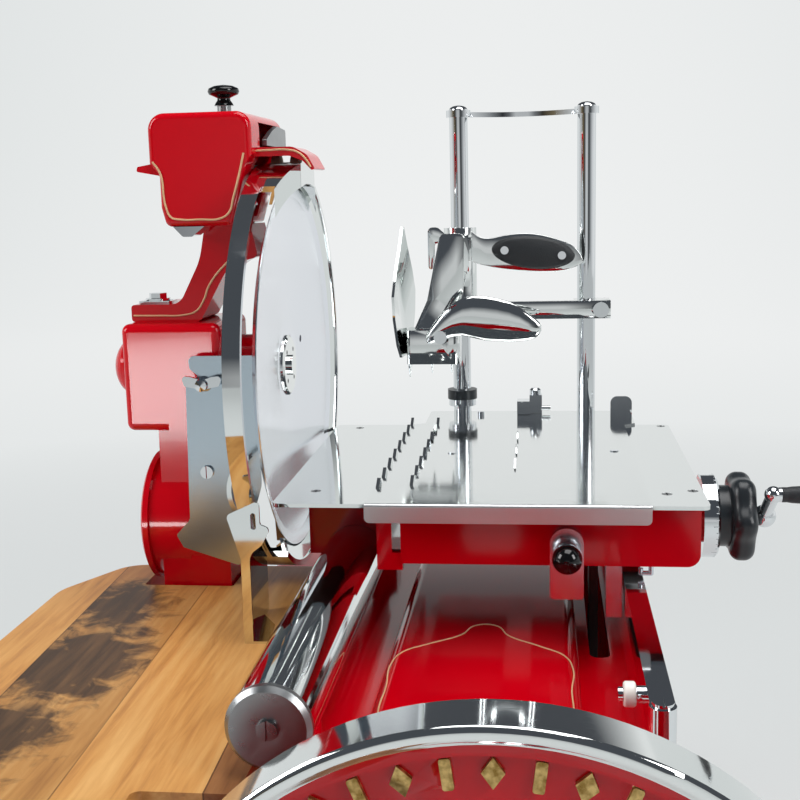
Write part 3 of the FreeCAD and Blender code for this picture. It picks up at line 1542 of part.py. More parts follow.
def make_feed_crank():
    """The ball nut, short arm and pin on the feed screw's end."""
    x = crank_x() + clearance
    y, z = grip_place()
    ball = Part.makeSphere(9.5, Vector(x + 9, screw_y, screw_z))
    arm = rod(5.5, Vector(x + 9, screw_y, screw_z), Vector(x + 11, y, z))
    eye = Part.makeSphere(7.0, Vector(x + 11, y, z))
    end = x + 18 + crank_grip_length
    pin = bar("x", 3.5, y, z, x + 11, end + 2)
    stop = bar("x", 5.5, y, z, end + 1, end + 4)
    collar = bar("x", 6, y, z, x + 12, x + 17)
    bore = bar("x", screw_radius, screw_y, screw_z, x - 20, x + 3)
    return joined([ball, arm, eye, pin, stop, collar]).cut(bore)


def make_crank_grip():
    """The tapered grip that spins on the feed crank's pin."""
    x = crank_x() + clearance + 17.4
    bore = 3.5 + 0.07
    end = x + crank_grip_length + 1
    thickest = x + 0.55 * crank_grip_length
    profile = [(x, bore), (x, 6), (x + 4, 6), (x + 8, 6.6), (thickest, crank_grip_radius),
               (end - 6, crank_grip_radius - 0.5), (end, crank_grip_radius - 3), (end, bore)]
    return turned("x", *grip_place(), profile)


# ---------------------------------------------------------------- clamp

clamp_low = table_z + 125.0
clamp_high = table_z + 199.0
clamp_bar_z = table_z + 109.0
clamp_y = 276.0            # plane of the clamp's arms, in front of the posts
jaw_top = table_z + 101.0
jaw_low = table_z + 67.0
leaf_x = -42.0
handle_z = table_z + 175.0
handle_lean = 6.0          # degrees that the handle's grips dip towards the right


def post_bores(low, high):
    return [bar("z", post_radius + running_fit, x, post_y, low, high) for x in (post_left_x, post_right_x)]


def make_clamp_frame():
    """The clamp's casting: sleeve, leg and jaw at the left post, cross bar and slider at the right one."""
    low, high = clamp_bar_z - 4, clamp_bar_z + 14
    sleeve_body = bar("z", 17, post_left_x, post_y, low, clamp_high)
    neck = box((post_left_x - 12, post_left_x + 12), (clamp_y + 8, post_y),
               (clamp_high - 42, clamp_high - 6))
    leg = plate("y", clamp_y, clamp_y + 12, [(post_left_x - 16, clamp_high - 4, 6),
                                             (post_left_x + 8, clamp_high - 4, 6),
                                             (post_left_x + 6, clamp_low + 10, 10),
                                             (post_left_x - 22, jaw_top - 2),
                                             (post_left_x - 44, jaw_top - 2),
                                             (post_left_x - 30, clamp_low + 4, 14)])
    jaw = plate("z", jaw_low, jaw_top, [(leaf_x + 3, clamp_y - 18, 4), (post_left_x + 4, clamp_y - 18, 8),
                                        (post_left_x + 4, clamp_y + 14, 4), (leaf_x + 3, clamp_y + 14, 4)])
    jaw_room = box((leaf_x + 9, post_left_x - 2), (clamp_y - 13, clamp_y + 9), (jaw_low - 1, jaw_top - 6))
    strip = plate("y", clamp_y + 20, clamp_y + 24, [
        (post_left_x - 30, clamp_high - 40, 3), (post_left_x - 24, clamp_high - 40, 3),
        (post_left_x - 23, clamp_high - 14, 3), (post_left_x - 10, clamp_high - 14),
        (post_left_x - 10, clamp_high - 7), (post_left_x - 20, clamp_high + 2, 6),
        (post_left_x - 30, clamp_high + 2, 6)])
    prongs = []
    for x, y in ((leaf_x + 6, clamp_y - 14), (leaf_x + 26, clamp_y + 11.5), (leaf_x + 46, clamp_y + 11.5)):
        prongs.append(Part.makeCone(2.4, 0.6, 16, Vector(x, y, jaw_low + 3), Vector(0, 0, -1)))
    beam = box((post_left_x, post_right_x + 24), (post_y - 22, post_y - 12), (low, high))
    slider = box((post_right_x - 13, post_right_x + 24), (post_y - 13, post_y + 13), (low, high))
    body = joined([sleeve_body, neck, leg, strip, jaw.cut(jaw_room), beam, slider] + prongs)
    x, z = spoon_pivot()
    return body.cut(post_bores(low - 1, clamp_high + 1) + [bar("y", 4, x, z, clamp_y - 30, clamp_y - 12)])


def make_pusher_leaf():
    """The pointed plate that steadies the food beside the jaw."""
    bottom, top = table_z + 75, table_z + 203
    middle = clamp_y - 4
    corners = [(middle - 34, bottom, 14), (middle + 34, bottom, 14), (middle + 46, bottom + 48, 40),
               (middle + 26, top - 34, 60), (middle, top, 4),
               (middle - 26, top - 34, 60), (middle - 46, bottom + 48, 40)]
    return plate("x", leaf_x, leaf_x + 3, corners)


def make_clamp_handle():
    """The bright frame of the clamp's upper handle."""
    y, z = clamp_y + 2, handle_z
    left = post_left_x + 15
    lower = [Vector(left, y, z - 8), Vector(left + 22, y, z - 14), Vector(left + 48, y, z - 17.5),
             Vector(left + 76, y, z - 19), Vector(left + 98, y, z - 16.5), Vector(left + 110, y, z - 10)]
    upper = [lower[-1], Vector(left + 104, y, z + 2), Vector(left + 84, y, z + 13),
             Vector(left + 60, y, z + 18.5), Vector(left + 34, y, z + 17.5), Vector(left + 14, y, z + 15),
             Vector(left, y, z + 22)]
    curves = []
    for points in (lower, upper):
        curve = Part.BSplineCurve()
        curve.interpolate(points)
        curves.append(curve.toShape())
    wire = Part.Wire(curves + [Part.LineSegment(upper[-1], lower[0]).toShape()])
    frame = Part.Face(wire).extrude(Vector(0, 12, 0))
    tail = box((post_left_x + 12, left + 4), (clamp_y + 8, clamp_y + 14), (z - 8, z + 16))
    return joined([frame, tail])


def make_handle_scales():
    """The two black oval grips on the handle's sides."""
    x = post_left_x + 76
    scales = []
    for y, out in ((clamp_y + 2, -1), (clamp_y + 14, 1)):
        scale = oval_pad(x, handle_z, 41, 16.0, y, out * 5.0)
        scale.rotate(Vector(x, 0, handle_z), Vector(0, 1, 0), handle_lean)
        scales.append(scale)
    return group(scales)


def oval_pad(x, z, half_length, half_height, y, rise):
    """A flat oval pad on a plane across Y, with a slightly smaller outer face."""
    wires = []
    for share, offset in ((1.0, 0.0), (0.97, 0.6), (0.84, 1.0)):
        centre = Vector(x, y + rise * offset, z)
        ellipse = Part.Ellipse(centre + Vector(half_length * share, 0, 0),
                               centre + Vector(0, 0, half_height * share), centre)
        wires.append(Part.Wire([ellipse.toShape()]))
    return Part.makeLoft(wires, True, True)


def make_spoon_lever():
    """The spoon shaped lever that closes the jaw."""
    y = clamp_y - 26
    x0, z0 = spoon_pivot()
    corners = [(x0 - 13, z0 - 9, 9), (x0 + 9, z0 - 9, 8), (x0 + 20, z0 + 2, 12), (x0 + 42, z0 - 4, 25),
               (x0 + 66, z0 - 6, 25), (x0 + 90, z0 - 5, 14), (x0 + 101, z0 + 8, 9), (x0 + 92, z0 + 20, 14),
               (x0 + 66, z0 + 37, 22), (x0 + 36, z0 + 42, 25), (x0 + 14, z0 + 36, 22), (x0 - 14, z0 + 11, 8)]
    body = plate("y", y, y + 7, corners)
    return body.cut(bar("y", 4 + running_fit, x0, z0, y - 1, y + 8))


def spoon_pivot():
    return post_left_x - 15, table_z + 95


def make_clamp_screws():
    """The spoon lever's pin, the handle's screws and the slider's screw."""
    x, z = spoon_pivot()
    pin = bar("y", 4, x, z, clamp_y - 28, clamp_y - 13)
    head = screw_head(6.5, -3.0, "y", x, z, clamp_y - 26 - clearance)
    dip = math.tan(math.radians(handle_lean))
    handle = [screw_head(4.0, -2.0, "y", post_left_x + 76 + dx, handle_z - dx * dip, clamp_y - 3)
              for dx in (-28, 28)]
    slider = screw_head(8.0, -5.0, "y", post_right_x + 14, clamp_bar_z + 5, post_y - 22)
    return group([pin.fuse(head), slider] + handle)


# ---------------------------------------------------------------- sharpener

def make_sharpener_arm():
    """The curved arm from the housing's top up to the sharpener."""
    base = blade_z + housing_top
    left = housing_left + 4
    corners = [(left, base, 3), (left, base + 15, 3), (left + 44, base + 15, 14),
               (blade_x - 78, cover_low - 30, 60),
               (blade_x - 72, cover_low), (blade_x - 32, cover_low), (blade_x - 26, cover_low - 28, 5),
               (blade_x - 52, cover_low - 34, 30), (blade_x - 80, base, 6)]
    return plate("y", blade_y - arm_depth / 2, blade_y + arm_depth / 2, corners)


def arm_bolt():
    """Flat washer, round washer and hexagon bolt on the arm's foot."""
    x, y = housing_left + 21, blade_y - 4
    base = blade_z + housing_top + 15
    washer = rounded_block((x - 15, x + 15), (y - 11, y + 11), (base, base + 2), 3)
    ring = bar("z", 11, x, y, base + 2, base + 4)
    hexagon = [(x + 8 * math.cos(math.pi / 3 * k), y + 8 * math.sin(math.pi / 3 * k)) for k in range(6)]
    head = plate("z", base + 4, base + 8.5, hexagon)
    return joined([washer, ring, head])


def cover_outline(inset=0.0):
    """The sharpener cover's front outline, drawn in by inset."""
    low, high = cover_low + inset, cover_top - inset
    left, right = cover_left + inset, cover_right - inset
    step = cover_left + 8 + inset
    return [(step + 4, low, 6), (right - 20, low, 3), (right - 5, cover_top - 43),
            (right, cover_top - 35), (right, high, 13), (left, high, 14),
            (left, cover_top - 41, 4), (step, cover_top - 51, 6), (step, cover_low + 16, 10)]


def make_sharpener_cover():
    """The red cover over the stones, with a spout on the left and a hood over the blade."""
    front, rear = blade_y - cover_depth / 2, blade_y + cover_depth / 2
    shell = plate("y", front, rear, cover_outline())
    ends = (front, rear)
    shell = soften(shell, cover_edge,
                   lambda c, e: c.z > cover_top - 29 and min(abs(c.y - y) for y in ends) < 0.01)
    room = plate("y", front + cover_wall, rear - cover_wall, cover_outline(cover_wall))
    side = box((cover_right - 30, cover_right + 2), (blade_y - 30, blade_y + 26),
               (cover_low + 6, cover_top - 13))
    window = box((cover_right - 20, cover_right + 2), (blade_y - 30, blade_y + 42),
                 (cover_top - 29, cover_top - 8))
    spout = plate("y", front + 4, rear - 4, [
        (cover_left - 12, cover_top - 47, 1.5), (cover_left + 9, cover_top - 51),
        (cover_left + 9, cover_top - 43), (cover_left + 1, cover_top - 41, 3),
        (cover_left - 11, cover_top - 43, 1.5)])
    body = joined([shell, spout])
    hole = bar("z", 6 + 0.3, stone_x(), blade_y, cover_top - 10, cover_top + 5)
    return joined([body.cut([room, side, window, hole]), make_hood()])


def make_hood():
    """The hood that reaches over the blade's top and hooks down before it, with a deeper front rim."""
    front, high = blade_y - 44, cover_top - 29.3
    top = [(cover_right - 4, high), (blade_x + 11, high, 12), (blade_x + 23, cover_top - 36, 10),
           (blade_x + 29.4, cover_top - 48, 1), (blade_x + 26.5, cover_top - 49, 1)]
    sheet = top + [(blade_x + 20.5, cover_top - 39, 6), (blade_x + 9, high - 3.5, 8),
                   (cover_right - 4, high - 3.5)]
    rim = top + [(blade_x + 19, cover_top - 41, 6), (blade_x + 8, high - 7.5, 8),
                 (cover_right - 4, high - 7.5)]
    return joined([plate("y", front, front + 48, sheet), plate("y", front, front + 5, rim)])


def make_window_catch():
    """The grey catch on the cover's side, before its window."""
    corners = [(blade_y - 20, cover_top - 27), (blade_y + 57, cover_top - 27, 2),
               (blade_y + 57, cover_top - 11, 3), (blade_y + 24, cover_top - 9, 4),
               (blade_y + 2, cover_top - 14, 4), (blade_y - 20, cover_top - 22, 2)]
    return plate("x", cover_right, cover_right + 4, corners)


def make_drip_lip():
    """The small bright wedge under the cover's lower edge."""
    x = stone_x() - 18
    return plate("y", blade_y - cover_depth / 2 + 2, blade_y - cover_depth / 2 + 26,
                 [(x - 15, cover_low), (x + 12, cover_low), (x + 1, cover_low - 8.5, 2),
                  (x - 7, cover_low - 8.5, 3)])


def stone_x():
    return blade_x - stone_side


def make_stone_carrier():
    """The slide with the stones' axle, its rod up through the cover, and the knob on it."""
    x = stone_x()
    top = cover_top
    stem = bar("z", 6, x, blade_y, top - 30, top + knob_gap)
    body = box((x - 8, x + 6), (blade_y - 9, blade_y + 9), (stone_z() - 8, top - 28))
    axle = bar("x", 3.5, blade_y, stone_z(), x + 5, right_stone_x() + stone_width + 2)
    ends = [bar("x", 5, blade_y, stone_z(), left_stone_x() - 3, left_stone_x() - clearance),
            bar("x", 5, blade_y, stone_z(), left_stone_x() + stone_width + clearance,
                right_stone_x() - clearance),
            bar("x", 5, blade_y, stone_z(), right_stone_x() + stone_width + clearance,
                right_stone_x() + stone_width + 3)]
    return group([joined([stem, body, axle] + ends), knob_top()])


def left_stone_x():
    return blade_x - 15.5


def right_stone_x():
    return blade_x + 1.2


def stone_z():
    return blade_z + blade_radius + stone_radius + 2.5


def knob_top():
    """The mushroom knob that lowers the stones."""
    x, low = stone_x(), cover_top + knob_gap
    return turned("z", x, blade_y, [(low, 0), (low, 8.5), (low + 2, 7.6), (low + 4.5, 5.8), (low + 6.5, 5.6),
                                    (low + 8, 9), (low + 9.5, 12.6), (low + 12, 13.7), (low + 14.5, 13),
                                    (low + 16.5, 9), (low + 18, 0)])


def make_stone(x):
    return sleeve("x", stone_radius, 3.5 + running_fit, blade_y, stone_z(), x, x + stone_width)


# ---------------------------------------------------------------- slice board

def make_board():
    """The wooden board that takes the slices, cut out round the column."""
    notch_left, notch_right = chain_x - column_width / 2 - case_rim - 4, housing_right + 2
    notch_front = column_front() - 3
    step_y = board_front + board_step
    corners = [(board_left, board_front + board_slant_y, 40), (board_left + board_slant_x, board_front, 60),
               (blade_x - 22, board_front, 10), (blade_x - 22, step_y, 6),
               (board_right, step_y, 4), (board_right, board_rear), (notch_right, board_rear),
               (notch_right, notch_front, 3), (notch_left, notch_front, 3), (notch_left, board_rear),
               (board_left + 38, board_rear - 3, 30), (board_left, board_rear - 76, 50)]
    return plate("z", deck_z, board_z, corners)


def make_nodes():
    return {
        "base_casting": make_base,
        "shaft_bushes": make_bushes,
        "blade_column": make_column,
        "case_covers": lambda: group([make_case_cover(), make_bearing_cap()]),
        "drive_chain": make_chain,
        "ring_guard": make_ring_guard,
        "guard_bracket": make_guard_bracket,
        "deflector_plate": make_deflector,
        "tube_rail": make_tube,
        "tube_end_caps": make_tube_caps,
        "steel_fixings": make_steel_fixings,
        "side_rail": make_side_rail,
        "rail_pillars": make_rail_pillars,
        "slice_board": make_board,
        "sharpener_arm": make_sharpener_arm,
        "sharpener_cover": make_sharpener_cover,
        "flywheel": make_flywheel,
        "flywheel_fixings": lambda: group([make_flywheel_nut(), make_handle_pin()]),
        "flywheel_shaft": make_flywheel_shaft,
        "bevel_pinion": make_bevel_pinion,
        "flywheel_grip": make_handle_grip,
        "cross_shaft": make_cross_shaft,
        "crank_gear": make_crank_gear,
        "crank_disc": make_crank_disc,
        "drive_sprocket": make_drive_sprocket,
        "idler_sprocket": make_idler,
        "blade": make_blade,
        "blade_hub_plate": make_hub_plate,
        "blade_shaft": make_blade_shaft,
        "blade_sprocket": make_blade_sprocket,
        "wing_bolt": make_wing_bolt,
        "stop_roller": make_stop_roller,
        "slotted_lever": make_lever,
        "carriage_body": make_carriage,
        "lower_table": make_lower_table,
        "carriage_fittings": make_carriage_fittings,
        "scale_ring": make_scale_ring,
        "carriage_screws": make_carriage_screws,
        "carriage_roller": make_carriage_roller,
        "release_plunger": make_plunger,
        "upper_table": make_upper_table,
        "food_spikes": make_spikes,
        "posts": make_posts,
        "top_bar": make_top_bar,
        "table_fittings": make_table_fittings,
        "post_bracket": make_post_bracket,
        "lead_screw": make_lead_screw,
        "feed_crank": make_feed_crank,
        "crank_grip": make_crank_grip,
        "index_knob": make_knob,
        "clamp_frame": make_clamp_frame,
        "pusher_leaf": make_pusher_leaf,
        "clamp_handle": make_clamp_handle,
        "handle_scales": make_handle_scales,
        "spoon_lever": make_spoon_lever,
        "clamp_screws": make_clamp_screws,
        "side_clamp": make_side_clamp,
        "stone_carrier": make_stone_carrier,
        "left_stone": lambda: make_stone(left_stone_x()),
        "right_stone": lambda: make_stone(right_stone_x()),
    }


def main():
    os.makedirs("parts", exist_ok=True)
    for name, make in make_nodes().items():
        shape = make()
        shape.exportStep(f"parts/{name}.step")
        print(name, len(shape.Solids), "valid" if shape.isValid() else "INVALID",
              round(shape.Volume / 1000, 1))


main()
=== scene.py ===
import math
import bmesh
import bpy
from mathutils import Matrix, Vector


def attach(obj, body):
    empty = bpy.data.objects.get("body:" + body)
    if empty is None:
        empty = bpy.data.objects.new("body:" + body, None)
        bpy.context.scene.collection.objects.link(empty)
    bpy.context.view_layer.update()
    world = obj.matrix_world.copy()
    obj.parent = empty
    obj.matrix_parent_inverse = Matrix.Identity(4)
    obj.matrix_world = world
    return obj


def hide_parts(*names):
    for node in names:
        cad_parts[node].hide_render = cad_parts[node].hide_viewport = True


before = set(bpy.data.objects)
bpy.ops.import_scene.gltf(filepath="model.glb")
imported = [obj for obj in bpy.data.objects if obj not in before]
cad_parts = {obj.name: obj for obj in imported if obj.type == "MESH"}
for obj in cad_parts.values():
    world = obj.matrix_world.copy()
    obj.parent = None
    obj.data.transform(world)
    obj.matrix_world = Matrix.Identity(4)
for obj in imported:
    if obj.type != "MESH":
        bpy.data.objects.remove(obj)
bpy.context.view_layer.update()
print("frame loaded")

# places that several pieces share, in metres
axes = {
    "blade": Vector((-0.121, 0.126, 0.528)),
    "wheel": Vector((0.071, -0.369, 0.217)),
    "leftPost": Vector((0.011, 0.337, 0.443)),
}


# camera

cameraSet = {"place": (0.096, -0.907, 0.679), "turn": (79.997, 1.3886, 6.7351),
             "lens": 53.325, "sensor": 36.0, "nearest": 0.02, "farthest": 60.0}


def makeCamera():
    data = bpy.data.cameras.new("mainCamera")
    data.lens = cameraSet["lens"]
    data.sensor_width = cameraSet["sensor"]
    data.clip_start = cameraSet["nearest"]
    data.clip_end = cameraSet["farthest"]
    camera = bpy.data.objects.new("mainCamera", data)
    camera.location = cameraSet["place"]
    camera.rotation_euler = [math.radians(a) for a in cameraSet["turn"]]
    bpy.context.scene.collection.objects.link(camera)
    bpy.context.scene.camera = camera


makeCamera()


# materials

def colour(hexText):
    # sRGB hex to a linear colour
    parts = [int(hexText[i:i + 2], 16) / 255 for i in (1, 3, 5)]
    return [p / 12.92 if p <= 0.04045 else ((p + 0.055) / 1.055) ** 2.4 for p in parts] + [1.0]


def addNode(tree, kind, values=None, links=None, stops=None, **settings):
    # one node with its settings, its values and what feeds it; stops are a ramp's places and colours
    node = tree.nodes.new(kind)
    for name, value in settings.items():
        setattr(node, name, value)
    for name, value in (values or {}).items():
        node.inputs[name].default_value = value
    for name, source in (links or {}).items():
        tree.links.new(source, node.inputs[name])
    for i, (at, tone) in enumerate(stops or []):
        element = node.color_ramp.elements[i] if i < 2 else node.color_ramp.elements.new(1.0)
        element.position = at
        element.color = colour(tone)
    return node


def newMaterial(name, **values):
    material = bpy.data.materials.new(name)
    material.use_nodes = True
    tree = material.node_tree
    shader = tree.nodes["Principled BSDF"]
    for key, value in values.items():
        shader.inputs[key.replace("_", " ")].default_value = value
    return material, tree, shader, addNode(tree, "ShaderNodeTexCoord").outputs["Object"]


def feed(tree, shader, **sources):
    for name, source in sources.items():
        tree.links.new(source, shader.inputs[name.replace("_", " ")])


def redEnamel():
    # stove enamel over filler: deep wet gloss with a faint orange peel 3 mm across
    material, tree, shader, place = newMaterial("redEnamel", Roughness=0.1, IOR=1.42,
                                                Coat_Weight=0.1, Coat_Roughness=0.02)
    cloud = addNode(tree, "ShaderNodeTexNoise", {"Scale": 6.0, "Detail": 2.0}, {"Vector": place})
    tone = addNode(tree, "ShaderNodeValToRGB", links={"Fac": cloud.outputs["Fac"]},
                   stops=[(0.3, "#C40011"), (0.7, "#D20016")])
    peel = addNode(tree, "ShaderNodeTexNoise", {"Scale": 330.0, "Detail": 1.0}, {"Vector": place})
    bump = addNode(tree, "ShaderNodeBump", {"Strength": 0.03, "Distance": 0.0004},
                   {"Height": peel.outputs["Fac"]})
    feed(tree, shader, Base_Color=tone.outputs["Color"], Normal=bump.outputs["Normal"])
    return material


def polishedSteel(name="polishedSteel", tone="#E6E9E8", rough=0.05):
    # stainless sheet buffed to a mirror: faint hair scratches and a slight roll of the surface
    material, tree, shader, place = newMaterial(name, Base_Color=colour(tone), Metallic=1.0)
    scratch = addNode(tree, "ShaderNodeMapping", {"Scale": (40.0, 900.0, 900.0)}, {"Vector": place})
    hair = addNode(tree, "ShaderNodeTexNoise", {"Scale": 1.0, "Detail": 2.0},
                   {"Vector": scratch.outputs["Vector"]})
    spread = addNode(tree, "ShaderNodeMapRange",
                     {"From Min": 0.3, "From Max": 0.8, "To Min": rough * 0.8, "To Max": rough * 1.6},
                     {"Value": hair.outputs["Fac"]})
    roll = addNode(tree, "ShaderNodeTexNoise", {"Scale": 18.0, "Detail": 1.0}, {"Vector": place})
    bump = addNode(tree, "ShaderNodeBump", {"Strength": 0.02, "Distance": 0.001},
                   {"Height": roll.outputs["Fac"]})
    feed(tree, shader, Roughness=spread.outputs["Result"], Normal=bump.outputs["Normal"])
    return material


def chromePlate():
    # bright nickel chrome plating: a clean mirror with a cool tint
    material, tree, shader, place = newMaterial("chromePlate", Base_Color=colour("#E2E5E7"), Metallic=1.0)
    haze = addNode(tree, "ShaderNodeTexNoise", {"Scale": 60.0, "Detail": 3.0}, {"Vector": place})
    spread = addNode(tree, "ShaderNodeMapRange", {"To Min": 0.025, "To Max": 0.07},
                     {"Value": haze.outputs["Fac"]})
    feed(tree, shader, Roughness=spread.outputs["Result"])
    return material


def brushedSteel(name="brushedSteel", tone="#C4D2DC", rough=0.2):
    # stainless sheet brushed with a fine belt, so highlights stretch across the lines
    material, tree, shader, place = newMaterial(name, Base_Color=colour(tone), Metallic=1.0)
    stretch = addNode(tree, "ShaderNodeMapping", {"Scale": (60.0, 60.0, 2600.0)}, {"Vector": place})
    lines = addNode(tree, "ShaderNodeTexNoise", {"Scale": 1.0, "Detail": 3.0},
                    {"Vector": stretch.outputs["Vector"]})
    spread = addNode(tree, "ShaderNodeMapRange", {"To Min": rough * 0.7, "To Max": rough * 1.3},
                     {"Value": lines.outputs["Fac"]})
    bump = addNode(tree, "ShaderNodeBump", {"Strength": 0.06, "Distance": 0.0003},
                   {"Height": lines.outputs["Fac"]})
    feed(tree, shader, Roughness=spread.outputs["Result"], Normal=bump.outputs["Normal"])
    return material


def bladeSteel():
    # hardened chrome steel, ground in rings about the centre and then polished
    material, tree, shader, place = newMaterial("bladeSteel", Base_Color=colour("#E6E9EF"), Metallic=1.0)
    centred = addNode(tree, "ShaderNodeVectorMath", {1: axes["blade"]}, {0: place}, operation="SUBTRACT")
    apart = addNode(tree, "ShaderNodeVectorMath", {1: (0.0, 1.0, 1.0)}, {0: centred.outputs["Vector"]},
                    operation="MULTIPLY")
    radius = addNode(tree, "ShaderNodeVectorMath", None, {0: apart.outputs["Vector"]}, operation="LENGTH")
    rings = addNode(tree, "ShaderNodeTexNoise", {"Scale": 1600.0, "Detail": 2.0},
                    {"W": radius.outputs["Value"]}, noise_dimensions="1D")
    spread = addNode(tree, "ShaderNodeMapRange", {"To Min": 0.12, "To Max": 0.24},
                     {"Value": rings.outputs["Fac"]})
    bump = addNode(tree, "ShaderNodeBump", {"Strength": 0.05, "Distance": 0.0002},
                   {"Height": rings.outputs["Fac"]})
    feed(tree, shader, Roughness=spread.outputs["Result"], Normal=bump.outputs["Normal"])
    return material


def machinedMetal(name, tone, rough):
    # turned or ground metal under a film of oil
    material, tree, shader, place = newMaterial(name, Base_Color=colour(tone), Metallic=1.0)
    film = addNode(tree, "ShaderNodeTexNoise", {"Scale": 90.0, "Detail": 3.0}, {"Vector": place})
    spread = addNode(tree, "ShaderNodeMapRange", {"To Min": rough * 0.7, "To Max": rough * 1.3},
                     {"Value": film.outputs["Fac"]})
    feed(tree, shader, Roughness=spread.outputs["Result"])
    return material


def moulded(name, tone, rough, grain, depth):
    # a body of one tone with a fine grain: moulded plastic, paint, grit, or near black painted shade
    material, tree, shader, place = newMaterial(name, Base_Color=colour(tone), Roughness=rough, IOR=1.5)
    cells = addNode(tree, "ShaderNodeTexNoise", {"Scale": grain, "Detail": 2.0}, {"Vector": place})
    bump = addNode(tree, "ShaderNodeBump", {"Strength": depth, "Distance": 0.0005},
                   {"Height": cells.outputs["Fac"]})
    feed(tree, shader, Normal=bump.outputs["Normal"])
    return material


# joints run nearly along Y; smoke is each cloud's place and half size
planks = {
    "width": 0.0885, "first": 0.3753, "lean": 0.031, "heart": 1.0, "brownAfter": 2.5, "glue": 0.012,
    "pale": [(0.3, "#A9713A"), (0.48, "#CE9450"), (0.7, "#E2B06C")],
    "brown": [(0.3, "#5E3A1F"), (0.48, "#8A5A32"), (0.7, "#A87444")],
    "dark": [(0.3, "#1E1712"), (0.48, "#3A2A1E"), (0.7, "#6A4C32")],
    "smoke": [((-0.262, 0.022, 0.338), 0.040), ((-0.252, -0.106, 0.338), 0.050),
              ((-0.262, -0.226, 0.338), 0.040)],
}


